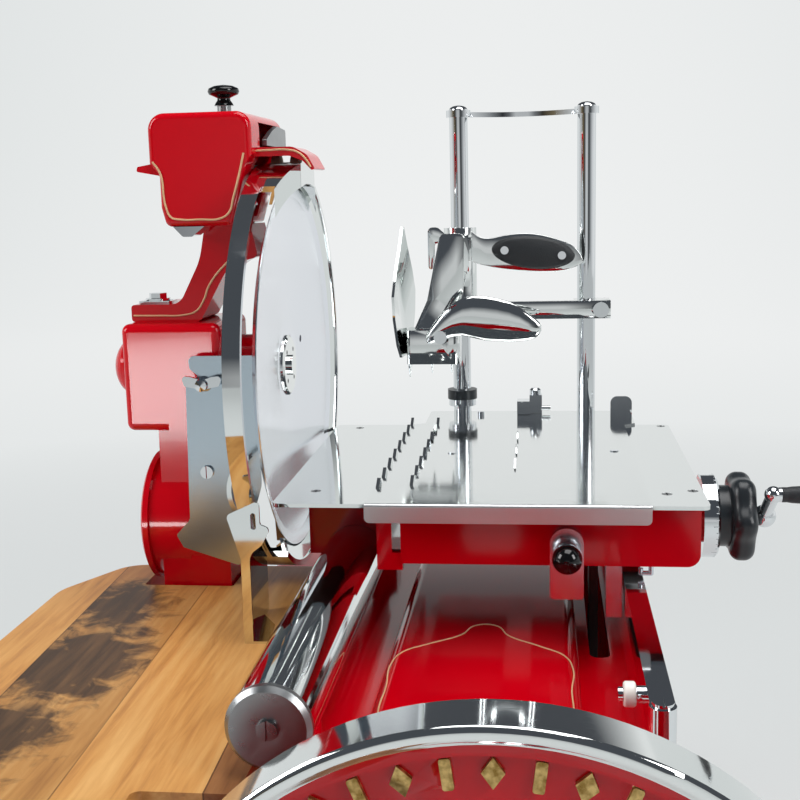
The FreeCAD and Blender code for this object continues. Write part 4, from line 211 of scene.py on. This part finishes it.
def oiledPlanks():
    # edge glued planks of oiled hardwood, 88 mm wide, one of them with smoky heartwood
    material, tree, shader, place = newMaterial("oiledPlanks", IOR=1.47)
    split = addNode(tree, "ShaderNodeSeparateXYZ", None, {"Vector": place})
    lean = addNode(tree, "ShaderNodeMath", {1: planks["lean"]}, {0: split.outputs["Y"]}, operation="MULTIPLY")
    across = addNode(tree, "ShaderNodeMath", None, {0: split.outputs["X"], 1: lean.outputs[0]},
                     operation="ADD")
    shifted = addNode(tree, "ShaderNodeMath", {1: planks["first"]}, {0: across.outputs[0]}, operation="ADD")
    count = addNode(tree, "ShaderNodeMath", {1: planks["width"]}, {0: shifted.outputs[0]}, operation="DIVIDE")
    index = addNode(tree, "ShaderNodeMath", None, {0: count.outputs[0]}, operation="FLOOR")
    inside = addNode(tree, "ShaderNodeMath", None, {0: count.outputs[0]}, operation="FRACT")

    # each plank's grain starts somewhere else
    jump = addNode(tree, "ShaderNodeCombineXYZ", None, {"Y": index.outputs[0], "Z": index.outputs[0]})
    moved = addNode(tree, "ShaderNodeVectorMath", None, {0: place, 1: jump.outputs[0]}, operation="ADD")
    turned = addNode(tree, "ShaderNodeMapping", {"Rotation": (0.0, 0.0, -0.03), "Scale": (1.0, 0.07, 1.0)},
                     {"Vector": moved.outputs[0]})
    grain = addNode(tree, "ShaderNodeTexNoise",
                    {"Scale": 210.0, "Detail": 5.0, "Roughness": 0.6, "Distortion": 0.4},
                    {"Vector": turned.outputs["Vector"]})
    figure = addNode(tree, "ShaderNodeTexNoise", {"Scale": 34.0, "Detail": 3.0, "Distortion": 1.6},
                     {"Vector": turned.outputs["Vector"]})
    wood = addNode(tree, "ShaderNodeMix", {0: 0.45},
                   {2: figure.outputs["Fac"], 3: grain.outputs["Fac"]}).outputs[0]
    pale, brown, dark = [addNode(tree, "ShaderNodeValToRGB", links={"Fac": wood}, stops=planks[tone])
                         for tone in ("pale", "brown", "dark")]
    last = addNode(tree, "ShaderNodeMath", {1: planks["brownAfter"]}, {0: index.outputs[0]},
                   operation="GREATER_THAN")
    plain = addNode(tree, "ShaderNodeMix", None,
                    {0: last.outputs[0], 6: pale.outputs["Color"], 7: brown.outputs["Color"]},
                    data_type="RGBA")

    # smoke coloured clouds in the second plank only, their edges broken up by a noise
    cloud = addNode(tree, "ShaderNodeTexNoise",
                    {"Scale": 42.0, "Detail": 5.0, "Roughness": 0.6, "Distortion": 0.6}, {"Vector": place})
    ragged = addNode(tree, "ShaderNodeMath", {1: 2.4, 2: -1.2}, {0: cloud.outputs["Fac"]},
                     operation="MULTIPLY_ADD")
    blots = None
    for centre, size in planks["smoke"]:
        away = addNode(tree, "ShaderNodeVectorMath", {1: centre}, {0: place}, operation="SUBTRACT")
        flat = addNode(tree, "ShaderNodeVectorMath", {1: (1.0 / size, 0.7 / size, 0.0)},
                       {0: away.outputs[0]}, operation="MULTIPLY")
        reach = addNode(tree, "ShaderNodeVectorMath", None, {0: flat.outputs[0]}, operation="LENGTH")
        near = addNode(tree, "ShaderNodeMath", None, {0: ragged.outputs[0], 1: reach.outputs["Value"]},
                       operation="SUBTRACT")
        part = addNode(tree, "ShaderNodeMapRange",
                       {"From Min": -1.3, "From Max": -0.75, "To Min": 0.25, "To Max": 0.95},
                       {"Value": near.outputs[0]}).outputs["Result"]
        if blots:
            part = addNode(tree, "ShaderNodeMath", None, {0: blots, 1: part}, operation="MAXIMUM").outputs[0]
        blots = part
    heart = addNode(tree, "ShaderNodeMath", {1: planks["heart"], 2: 0.5}, {0: index.outputs[0]},
                    operation="COMPARE")
    amount = addNode(tree, "ShaderNodeMath", None, {0: heart.outputs[0], 1: blots}, operation="MULTIPLY")
    smoky = addNode(tree, "ShaderNodeMix", None,
                    {0: amount.outputs[0], 6: plain.outputs[2], 7: dark.outputs["Color"]}, data_type="RGBA")

    # a dark line 1 mm wide at each glued joint
    edge = addNode(tree, "ShaderNodeMath", {1: planks["glue"]}, {0: inside.outputs[0]}, operation="LESS_THAN")
    share = addNode(tree, "ShaderNodeMath", {1: 0.55}, {0: edge.outputs[0]}, operation="MULTIPLY")
    glued = addNode(tree, "ShaderNodeMix", {7: colour("#3A2415")},
                    {0: share.outputs[0], 6: smoky.outputs[2]}, data_type="RGBA")
    spread = addNode(tree, "ShaderNodeMapRange", {"To Min": 0.3, "To Max": 0.48}, {"Value": wood})
    bump = addNode(tree, "ShaderNodeBump", {"Strength": 0.12, "Distance": 0.0005}, {"Height": wood})
    feed(tree, shader, Base_Color=glued.outputs[2], Roughness=spread.outputs["Result"],
         Normal=bump.outputs["Normal"])
    return material


def goldPaint():
    # bronze powder paint over the raised ornaments, worn a little on their tops
    material, tree, shader, place = newMaterial("goldPaint", Metallic=0.85)
    wear = addNode(tree, "ShaderNodeTexNoise", {"Scale": 260.0, "Detail": 3.0}, {"Vector": place})
    tone = addNode(tree, "ShaderNodeValToRGB", links={"Fac": wear.outputs["Fac"]},
                   stops=[(0.35, "#8F7038"), (0.65, "#D8B878")])
    spread = addNode(tree, "ShaderNodeMapRange", {"To Min": 0.22, "To Max": 0.42},
                     {"Value": wear.outputs["Fac"]})
    feed(tree, shader, Base_Color=tone.outputs["Color"], Roughness=spread.outputs["Result"])
    return material


finishes = {
    "red": redEnamel(),
    "mirror": polishedSteel(),
    "sheet": polishedSteel("polishedSheet", "#E6E9E8", 0.08),
    "chrome": chromePlate(),
    "brushed": brushedSteel(),
    "satin": brushedSteel("satinLip", "#E2E4E4", 0.34),
    "blade": bladeSteel(),
    "machined": machinedMetal("machinedSteel", "#9A9C9D", 0.3),
    "iron": machinedMetal("groundIron", "#6A6A69", 0.45),
    "bronze": machinedMetal("turnedBronze", "#B58A4E", 0.3),
    "aluminium": machinedMetal("satinAluminium", "#D5D6DE", 0.22),
    "black": moulded("blackMoulding", "#23282C", 0.3, 700.0, 0.08),
    "gloss": moulded("blackGloss", "#0C0D0E", 0.08, 300.0, 0.01),
    "grip": moulded("grainedGrip", "#24272A", 0.5, 900.0, 0.5),
    "nylon": moulded("whiteNylon", "#EFEDE6", 0.42, 500.0, 0.03),
    "stone": moulded("fineGrit", "#8C8070", 0.85, 2200.0, 0.6),
    "stripe": moulded("stripePaint", "#E3B98C", 0.35, 400.0, 0.05),
    # near black painted shade for the carriage plate's underside, where the shade under the carriage falls
    "underShade": moulded("paintedUnderShade", "#161313", 0.55, 300.0, 0.1),
    "gold": goldPaint(),
    "wood": oiledPlanks(),
}
print("materials made")

nodeFinish = {
    "red": ["base_casting", "blade_column", "case_covers", "sharpener_arm", "sharpener_cover",
            "carriage_body", "post_bracket"],
    "mirror": ["ring_guard", "guard_bracket", "tube_rail", "food_spikes", "blade_hub_plate"],
    "chrome": ["rail_pillars", "flywheel_fixings", "wing_bolt", "scale_ring", "posts", "top_bar",
               "feed_crank", "clamp_screws", "side_clamp", "side_rail"],
    "brushed": ["deflector_plate"],
    "blade": ["blade"],
    "machined": ["drive_chain", "flywheel_shaft", "cross_shaft", "drive_sprocket", "idler_sprocket",
                 "blade_shaft", "blade_sprocket", "carriage_screws", "carriage_roller", "lead_screw",
                 "tube_end_caps"],
    "iron": ["bevel_pinion", "crank_gear", "crank_disc", "slotted_lever"],
    "bronze": ["shaft_bushes"],
    "aluminium": ["carriage_fittings"],
    "black": ["index_knob"],
    "grip": ["crank_grip"],
    "nylon": ["stop_roller"],
    "stone": ["left_stone", "right_stone"],
    "wood": ["slice_board", "flywheel_grip"],
}
for finish, names in nodeFinish.items():
    for name in names:
        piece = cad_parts[name]
        piece.data.materials.clear()
        piece.data.materials.append(finishes[finish])


# pieces of more than one finish

merging = {"near": 0.00001, "flat": math.radians(0.4)}


def mergedNode(node):
    # a CAD node's loose triangles as one closed skin with flat faces whole again
    mesh = bmesh.new()
    mesh.from_mesh(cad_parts[node].data)
    bmesh.ops.remove_doubles(mesh, verts=mesh.verts, dist=merging["near"])
    bmesh.ops.dissolve_limit(mesh, angle_limit=merging["flat"], verts=mesh.verts, edges=mesh.edges)
    return mesh


def settle(mesh, name, body, kinds, pick=None, nodes=(), smooth=35.0):
    # turns a bmesh into a finished piece; pick gives each face's place in kinds
    bmesh.ops.recalc_face_normals(mesh, faces=mesh.faces)
    if pick:
        for face in mesh.faces:
            face.material_index = pick(face.calc_center_median())
    data = bpy.data.meshes.new(name)
    mesh.to_mesh(data)
    mesh.free()
    for kind in kinds:
        data.materials.append(finishes[kind])
    data.shade_smooth()
    data.set_sharp_from_angle(angle=math.radians(smooth))
    piece = bpy.data.objects.new(name, data)
    bpy.context.scene.collection.objects.link(piece)
    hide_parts(*nodes)
    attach(piece, body)


wheel = {"rimInside": 0.1875, "markRise": -0.3602, "markIn": 0.166, "markOut": 0.1878}


def wheelFace(place):
    # the rim is polished, the raised ornaments just inside it are gold
    radius = math.hypot(place.x - axes["wheel"].x, place.z - axes["wheel"].z)
    if radius > wheel["rimInside"]:
        return 1
    return 2 if place.y < wheel["markRise"] and wheel["markIn"] < radius < wheel["markOut"] else 0


plunger = {"ballRear": -0.0275}


def plungerFace(place):
    # a glossy black ball on a bright pin
    return 1 if place.y < plunger["ballRear"] else 0


stoneKnob = {"foot": 0.7475}


def stoneSlideFace(place):
    # a glossy black mushroom knob on the steel slide
    return 1 if place.z > stoneKnob["foot"] else 0


tables = {"underside": 0.4385, "bladeSide": -0.016, "lipRear": -0.0285, "smooth": 8.0}


def lowerTableFace(place):
    # polished on top; the underside past the blade side is painted near black, as painted shade under the
    # carriage
    return 1 if place.z < tables["underside"] and place.x > tables["bladeSide"] else 0


def upperTableFace(place):
    # polished, with a brushed front lip
    return 1 if place.y < tables["lipRear"] else 0


fixings = {"catchLeft": -0.1415, "catchRight": -0.1365, "catchFoot": 0.715, "tubeScrews": -0.265}


def fixingFace(place):
    # chrome, but the window catch and the frontmost screws are plain machined steel
    inCatch = fixings["catchLeft"] < place.x < fixings["catchRight"] and place.z > fixings["catchFoot"]
    return 1 if inCatch or place.y < fixings["tubeScrews"] else 0


collar = {"reach": 0.0172, "low": 0.4598, "high": 0.4702}


def fittingFace(place):
    # the upper collar on the left post's foot is black
    apart = math.hypot(place.x - axes["leftPost"].x, place.y - axes["leftPost"].y)
    return 1 if apart < collar["reach"] and collar["low"] < place.z < collar["high"] else 0


settle(mergedNode("flywheel"), "flywheelDressed", "flywheel", ["red", "mirror", "gold"],
       wheelFace, ["flywheel"])
settle(mergedNode("release_plunger"), "releaseDressed", "plunger", ["chrome", "gloss"],
       plungerFace, ["release_plunger"])
settle(mergedNode("stone_carrier"), "stoneSlide", "stone_slide", ["machined", "gloss"],
       stoneSlideFace, ["stone_carrier"])
# the carriage plate: polished, with painted shade on its underside
settle(mergedNode("lower_table"), "lowerTable", "carriage", ["mirror", "underShade"],
       lowerTableFace, ["lower_table"], tables["smooth"])
settle(mergedNode("upper_table"), "upperTable", "table", ["sheet", "satin"],
       upperTableFace, ["upper_table"], tables["smooth"])
settle(mergedNode("steel_fixings"), "steelFixings", "base", ["chrome", "machined"],
       fixingFace, ["steel_fixings"])
settle(mergedNode("table_fittings"), "tableFittings", "table", ["chrome", "black"],
       fittingFace, ["table_fittings"])
print("painted nodes done")


# clamp: domed spoon, bent leaf, rounded casting and handle

clamp = {"frameEdge": 0.0025, "handleEdge": 0.0042, "frameSharper": 40.0, "handleSharper": 50.0}


def roundEdges(mesh, width, segments, sharper):
    # rounds every edge that turns by more than sharper degrees
    edges = [edge for edge in mesh.edges
             if len(edge.link_faces) == 2 and edge.calc_face_angle(0.0) > math.radians(sharper)]
    bmesh.ops.bevel(mesh, geom=edges, offset=width, offset_type="OFFSET", affect="EDGES",
                    segments=segments, profile=0.5, material=-1, clamp_overlap=True)


def makeClampFrame():
    mesh = mergedNode("clamp_frame")
    roundEdges(mesh, clamp["frameEdge"], 2, clamp["frameSharper"])
    settle(mesh, "clampCasting", "clamp", ["mirror"], None, ["clamp_frame"], 40.0)


def makeHandle():
    mesh = mergedNode("clamp_handle")
    roundEdges(mesh, clamp["handleEdge"], 3, clamp["handleSharper"])
    settle(mesh, "clampHandle", "clamp", ["mirror"], None, ["clamp_handle"], 40.0)


# each station of the spoon: X, lowest Z, highest Z and half thickness
spoon = {
    "middle": 0.2525, "sides": 40,
    "stations": [
        (-0.0180, 0.5310, 0.5380, 0.0020), (-0.0165, 0.5290, 0.5410, 0.0032),
        (-0.0120, 0.5300, 0.5480, 0.0042), (-0.0060, 0.5325, 0.5555, 0.0046),
        (0.0000, 0.5342, 0.5620, 0.0048), (0.0080, 0.5362, 0.5690, 0.0050),
        (0.0180, 0.5372, 0.5742, 0.0052), (0.0280, 0.5348, 0.5764, 0.0054),
        (0.0400, 0.5320, 0.5758, 0.0054), (0.0520, 0.5312, 0.5736, 0.0052),
        (0.0640, 0.5306, 0.5702, 0.0050), (0.0740, 0.5312, 0.5650, 0.0047),
        (0.0820, 0.5318, 0.5590, 0.0043), (0.0885, 0.5340, 0.5535, 0.0036),
        (0.0925, 0.5372, 0.5500, 0.0026), (0.0948, 0.5415, 0.5468, 0.0012),
    ],
}


def makeSpoon():
    # ovals along the lever, joined to one smooth skin
    mesh = bmesh.new()
    upright = Matrix.Rotation(math.pi / 2, 4, "Y")
    ends = (spoon["stations"][0][0], spoon["stations"][-1][0])
    before = None
    for x, low, high, half in spoon["stations"]:
        size = Matrix.Diagonal(((high - low) / 2, half, 1.0, 1.0))
        place = Matrix.Translation((x, spoon["middle"], (low + high) / 2)) @ upright @ size
        made = bmesh.ops.create_circle(mesh, cap_ends=x in ends, segments=spoon["sides"], radius=1.0,
                                       matrix=place)
        ring = list({edge for v in made["verts"] for edge in v.link_edges})
        if before:
            bmesh.ops.bridge_loops(mesh, edges=before + ring)
        before = ring
    settle(mesh, "spoonLever", "spoon", ["mirror"], None, ["spoon_lever"], 80.0)


# each level of the leaf: Z, half width and how strongly it is folded
leaf = {
    "levels": [(0.516, 0.020, 0.0), (0.530, 0.034, 0.1), (0.556, 0.044, 0.5), (0.578, 0.044, 0.9),
               (0.600, 0.032, 1.0), (0.622, 0.016, 0.8), (0.6435, 0.002, 0.5)],
    "middle": (-0.0405, 0.272), "turn": math.radians(5.5), "twist": 0.4, "ridge": 0.0085,
    "fullRidge": 0.03, "wall": 0.0026, "across": 8,
}


def makeLeaf():
    # a pointed plate folded along its middle and turned a little more where the fold is strong
    mesh = bmesh.new()
    rows = len(leaf["levels"]) - 1
    bmesh.ops.create_grid(mesh, x_segments=leaf["across"], y_segments=rows, size=1.0)
    x0, y0 = leaf["middle"]
    for v in mesh.verts:
        z, half, bend = leaf["levels"][round((v.co.y + 1) / 2 * rows)]
        share = v.co.x
        fold = leaf["ridge"] * bend * (1 - abs(share)) * min(1.0, half / leaf["fullRidge"])
        aside = half * share * math.sin(leaf["turn"]) * (1 + leaf["twist"] * bend)
        v.co = (x0 - fold + aside, y0 + half * share, z)
    bmesh.ops.recalc_face_normals(mesh, faces=mesh.faces)
    bmesh.ops.solidify(mesh, geom=mesh.faces, thickness=leaf["wall"])
    settle(mesh, "pusherLeaf", "clamp", ["mirror"], None, ["pusher_leaf"], 22.0)


def makeScales():
    settle(mergedNode("handle_scales"), "gripScales", "clamp", ["grip"], None,
           ["handle_scales"], 50.0)


makeClampFrame()
makeHandle()
makeSpoon()
makeLeaf()
makeScales()
print("clamp done")


# painted lines

coverLine = {
    "front": 0.0639, "rear": 0.1881, "radius": 0.0009,
    "points": [(-0.2248, 0.7075), (-0.2200, 0.7010), (-0.2174, 0.6930), (-0.2168, 0.6800),
               (-0.2152, 0.6700), (-0.2112, 0.6618), (-0.2040, 0.6600), (-0.1868, 0.6597),
               (-0.1690, 0.6603), (-0.1618, 0.6650), (-0.1575, 0.6770), (-0.1530, 0.6915),
               (-0.1495, 0.7040), (-0.1472, 0.7130)],
}
hoodLine = {
    "front": 0.0819, "radius": 0.0009,
    "points": [(-0.1440, 0.7149), (-0.1290, 0.7153), (-0.1150, 0.7152), (-0.1055, 0.7128),
               (-0.0990, 0.7070), (-0.0950, 0.7005)],
}
armLine = {
    "front": 0.0980, "radius": 0.0009,
    "points": [(-0.2612, 0.5766), (-0.2374, 0.5763), (-0.2148, 0.5768), (-0.2045, 0.5800),
               (-0.1975, 0.5890), (-0.1918, 0.6020), (-0.1832, 0.6135), (-0.1740, 0.6225)],
}
panelLine = {
    "top": 0.3281, "middle": 0.0495, "radius": 0.0006,
    "half": [(-0.0120, -0.1900), (-0.0170, -0.1500), (-0.0168, -0.1100), (-0.0185, -0.0700),
             (-0.0120, -0.0450), (0.0060, -0.0280), (0.0300, -0.0080), (0.0425, 0.0150)],
}


def drawLine(name, points, radius):
    # a thin painted line: half of a round thread sunk in the enamel
    data = bpy.data.curves.new(name, "CURVE")
    data.dimensions = "3D"
    data.bevel_depth = radius
    data.bevel_resolution = 1
    data.resolution_u = 8
    spline = data.splines.new("BEZIER")
    spline.bezier_points.add(len(points) - 1)
    for knot, place in zip(spline.bezier_points, points):
        knot.co = place
        knot.handle_left_type = knot.handle_right_type = "AUTO"
    data.materials.append(finishes["stripe"])
    line = bpy.data.objects.new(name, data)
    bpy.context.scene.collection.objects.link(line)
    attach(line, "base")


def makeLines():
    # the upright lines give X and Z at one Y, the panel's gives X and Y and is mirrored
    for name, part, side in (("coverLine", coverLine, "front"), ("coverRearLine", coverLine, "rear"),
                             ("hoodLine", hoodLine, "front"), ("armLine", armLine, "front")):
        drawLine(name, [(x, part[side], z) for x, z in part["points"]], part["radius"])
    left = [(x, y, panelLine["top"]) for x, y in panelLine["half"]]
    right = [(2 * panelLine["middle"] - x, y, z) for x, y, z in reversed(left)]
    drawLine("panelLine", left + right, panelLine["radius"])


makeLines()
print("lines painted")


# floor, backdrop and lights

# paperGlow holds the backdrop's painted light, from its brightest tone near glowFrom to its greyest far from
# it
studio = {
    "size": 16.0, "wallAt": 5.0, "bend": 2.0, "bendSteps": 16, "height": 2.5, "floor": "#D9DCDC",
    "glowFrom": (-0.3, 5.0, 1.4), "paperGlow": [(0.0, "#F3F4F4"), (0.4, "#EBEDED"), (1.0, "#DDE1E1")],
}


def paperMaterial():
    # pale paper; away from the object, what the camera and the metal see of it is self lit, in a painted glow
    # that is brightest near one point and greyer away from it
    material, tree, shader, place = newMaterial("palePaper", Base_Color=colour(studio["floor"]),
                                                Roughness=0.8)
    split = addNode(tree, "ShaderNodeSeparateXYZ", None, {"Vector": place})
    # painted light: the self lit paper's tone is brightest near glowFrom and greyer farther from it
    aside = addNode(tree, "ShaderNodeVectorMath", {1: studio["glowFrom"]}, {0: place}, operation="DISTANCE")
    glow = addNode(tree, "ShaderNodeMapRange", {"From Min": 0.6, "From Max": 4.6},
                   {"Value": aside.outputs["Value"]})
    paperGlow = addNode(tree, "ShaderNodeValToRGB", links={"Fac": glow.outputs["Result"]}, stops=studio["paperGlow"])
    seen = addNode(tree, "ShaderNodeLightPath")
    apart = addNode(tree, "ShaderNodeVectorMath", None, {0: place}, operation="LENGTH")
    around = addNode(tree, "ShaderNodeMapRange",
                     {"From Min": 0.9, "From Max": 2.6, "To Min": 0.6, "To Max": 1.0},
                     {"Value": apart.outputs["Value"]})
    direct = addNode(tree, "ShaderNodeMath", None,
                     {0: seen.outputs["Is Camera Ray"], 1: around.outputs["Result"]}, operation="MULTIPLY")
    mirrored = addNode(tree, "ShaderNodeMath", None,
                       {0: seen.outputs["Is Glossy Ray"], 1: seen.outputs["Is Transmission Ray"]},
                       operation="MAXIMUM")
    far = addNode(tree, "ShaderNodeMapRange",
                  {"From Min": 0.2, "From Max": 1.8, "To Min": 0.6, "To Max": 1.0},
                  {"Value": split.outputs["Y"]})
    turned = addNode(tree, "ShaderNodeMath", None, {0: mirrored.outputs[0], 1: far.outputs["Result"]},
                     operation="MULTIPLY")
    share = addNode(tree, "ShaderNodeMath", None, {0: direct.outputs[0], 1: turned.outputs[0]},
                    operation="MAXIMUM")
    light = addNode(tree, "ShaderNodeEmission", {"Strength": 1.0}, {"Color": paperGlow.outputs["Color"]})
    both = addNode(tree, "ShaderNodeMixShader", None,
                   {0: share.outputs[0], 1: shader.outputs["BSDF"], 2: light.outputs["Emission"]})
    tree.links.new(both.outputs["Shader"], tree.nodes["Material Output"].inputs["Surface"])
    return material


def makeFloor():
    # one sheet: flat under the object, then swept up behind it
    mesh = bmesh.new()
    half, wall, bend, steps = studio["size"] / 2, studio["wallAt"], studio["bend"], studio["bendSteps"]
    line = [mesh.verts.new((-half, -half, 0.0)), mesh.verts.new((-half, wall, 0.0))]
    for i in range(1, steps + 1):
        turn = math.pi / 2 * i / steps
        line.append(mesh.verts.new((-half, wall + bend * math.sin(turn), bend * (1 - math.cos(turn)))))
    line.append(mesh.verts.new((-half, wall + bend, studio["height"])))
    edges = [mesh.edges.new(pair) for pair in zip(line, line[1:])]
    made = bmesh.ops.extrude_edge_only(mesh, edges=edges)["geom"]
    moved = [g for g in made if isinstance(g, bmesh.types.BMVert)]
    bmesh.ops.translate(mesh, verts=moved, vec=(studio["size"], 0, 0))
    bmesh.ops.recalc_face_normals(mesh, faces=mesh.faces)
    data = bpy.data.meshes.new("floor")
    mesh.to_mesh(data)
    mesh.free()
    data.materials.append(paperMaterial())
    data.shade_smooth()
    floor = bpy.data.objects.new("floor", data)
    bpy.context.scene.collection.objects.link(floor)


hall = {
    "walls": [(0.0, "#D2D4D5"), (0.13, "#7A6C50"), (0.25, "#383226"), (0.34, "#7E8082"),
              (0.42, "#CDCFD0"), (0.58, "#D0D2D3"), (0.66, "#6A6C6E"), (0.74, "#2A2C2E"),
              (0.85, "#85888A"), (1.0, "#DEE0E1")],
    "frontCeiling": "#4A4E54", "backCeiling": "#4A4D52", "backdrop": "#EEF0F0", "seenPlain": "#E3E6E6",
    "diffusePower": 0.75,
}


def makeWorld():
    # metal sees a pale backdrop behind the object, lit and dark walls by turns in front of it and a
    # dark ceiling; the camera sees it plain and pale all round
    world = bpy.data.worlds.new("studioRoom")
    bpy.context.scene.world = world
    world.use_nodes = True
    tree = world.node_tree
    sky = tree.nodes["Background"]
    way = addNode(tree, "ShaderNodeTexCoord").outputs["Generated"]
    split = addNode(tree, "ShaderNodeSeparateXYZ", None, {"Vector": way})
    seen = addNode(tree, "ShaderNodeLightPath")
    aside = addNode(tree, "ShaderNodeMapRange", {"From Min": -1.0, "From Max": 1.0},
                    {"Value": split.outputs["X"]})
    walls = addNode(tree, "ShaderNodeValToRGB", links={"Fac": aside.outputs["Result"]}, stops=hall["walls"])
    above = addNode(tree, "ShaderNodeMapRange", {"From Min": 0.03, "From Max": 0.2},
                    {"Value": split.outputs["Z"]})
    front = addNode(tree, "ShaderNodeMix", {7: colour(hall["frontCeiling"])},
                    {0: above.outputs["Result"], 6: walls.outputs["Color"]}, data_type="RGBA")
    over = addNode(tree, "ShaderNodeMapRange", {"From Min": 0.27, "From Max": 0.36},
                   {"Value": split.outputs["Z"]})
    dim = addNode(tree, "ShaderNodeMath", None, {0: over.outputs["Result"], 1: seen.outputs["Is Glossy Ray"]},
                  operation="MULTIPLY")
    back = addNode(tree, "ShaderNodeMix", {6: colour(hall["backdrop"]), 7: colour(hall["backCeiling"])},
                   {0: dim.outputs[0]}, data_type="RGBA")
    depth = addNode(tree, "ShaderNodeMapRange", {"From Min": -0.35, "From Max": 0.3},
                    {"Value": split.outputs["Y"]})
    around = addNode(tree, "ShaderNodeMix", None,
                     {0: depth.outputs["Result"], 6: front.outputs[2], 7: back.outputs[2]},
                     data_type="RGBA")
    room = addNode(tree, "ShaderNodeMix", {7: colour(hall["seenPlain"])},
                   {0: seen.outputs["Is Camera Ray"], 6: around.outputs[2]}, data_type="RGBA")
    power = addNode(tree, "ShaderNodeMapRange", {"To Min": 1.0, "To Max": hall["diffusePower"]},
                    {"Value": seen.outputs["Is Diffuse Ray"]})
    tree.links.new(room.outputs[2], sky.inputs["Color"])
    tree.links.new(power.outputs["Result"], sky.inputs["Strength"])


lamps = {
    "overhead": {"at": (0.3, -0.1, 2.5), "aim": (0.0, 0.0, 0.4), "size": (1.8, 1.4), "watts": 30.0},
    "left": {"at": (-2.2, -0.9, 1.7), "aim": (-0.05, 0.0, 0.45), "size": (1.0, 1.4), "watts": 30.0},
    "right": {"at": (2.0, -1.2, 1.7), "aim": (0.1, 0.0, 0.45), "size": (0.8, 1.4), "watts": 26.0},
    "lowLeft": {"at": (-1.15, -1.9, 0.16), "aim": (-0.2, 0.1, 0.5), "size": (0.85, 0.28), "watts": 9.5,
                "lights": ["blade_column", "case_covers"]},
}


def makeLamps():
    for name, part in lamps.items():
        data = bpy.data.lights.new(name, "AREA")
        data.shape = "RECTANGLE"
        data.energy = part["watts"]
        data.size, data.size_y = part["size"]
        lamp = bpy.data.objects.new(name, data)
        lamp.location = part["at"]
        lamp.rotation_euler = (Vector(part["aim"]) - Vector(part["at"])).to_track_quat("-Z", "Y").to_euler()
        lamp.visible_camera = False
        if "lights" in part:
            lit = bpy.data.collections.new(name + "Lights")
            for node in part["lights"]:
                lit.objects.link(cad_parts[node])
            lamp.light_linking.receiver_collection = lit
        bpy.context.scene.collection.objects.link(lamp)


makeFloor()
makeWorld()
makeLamps()
print("studio lit")

bpy.context.scene.view_settings.view_transform = "Standard"
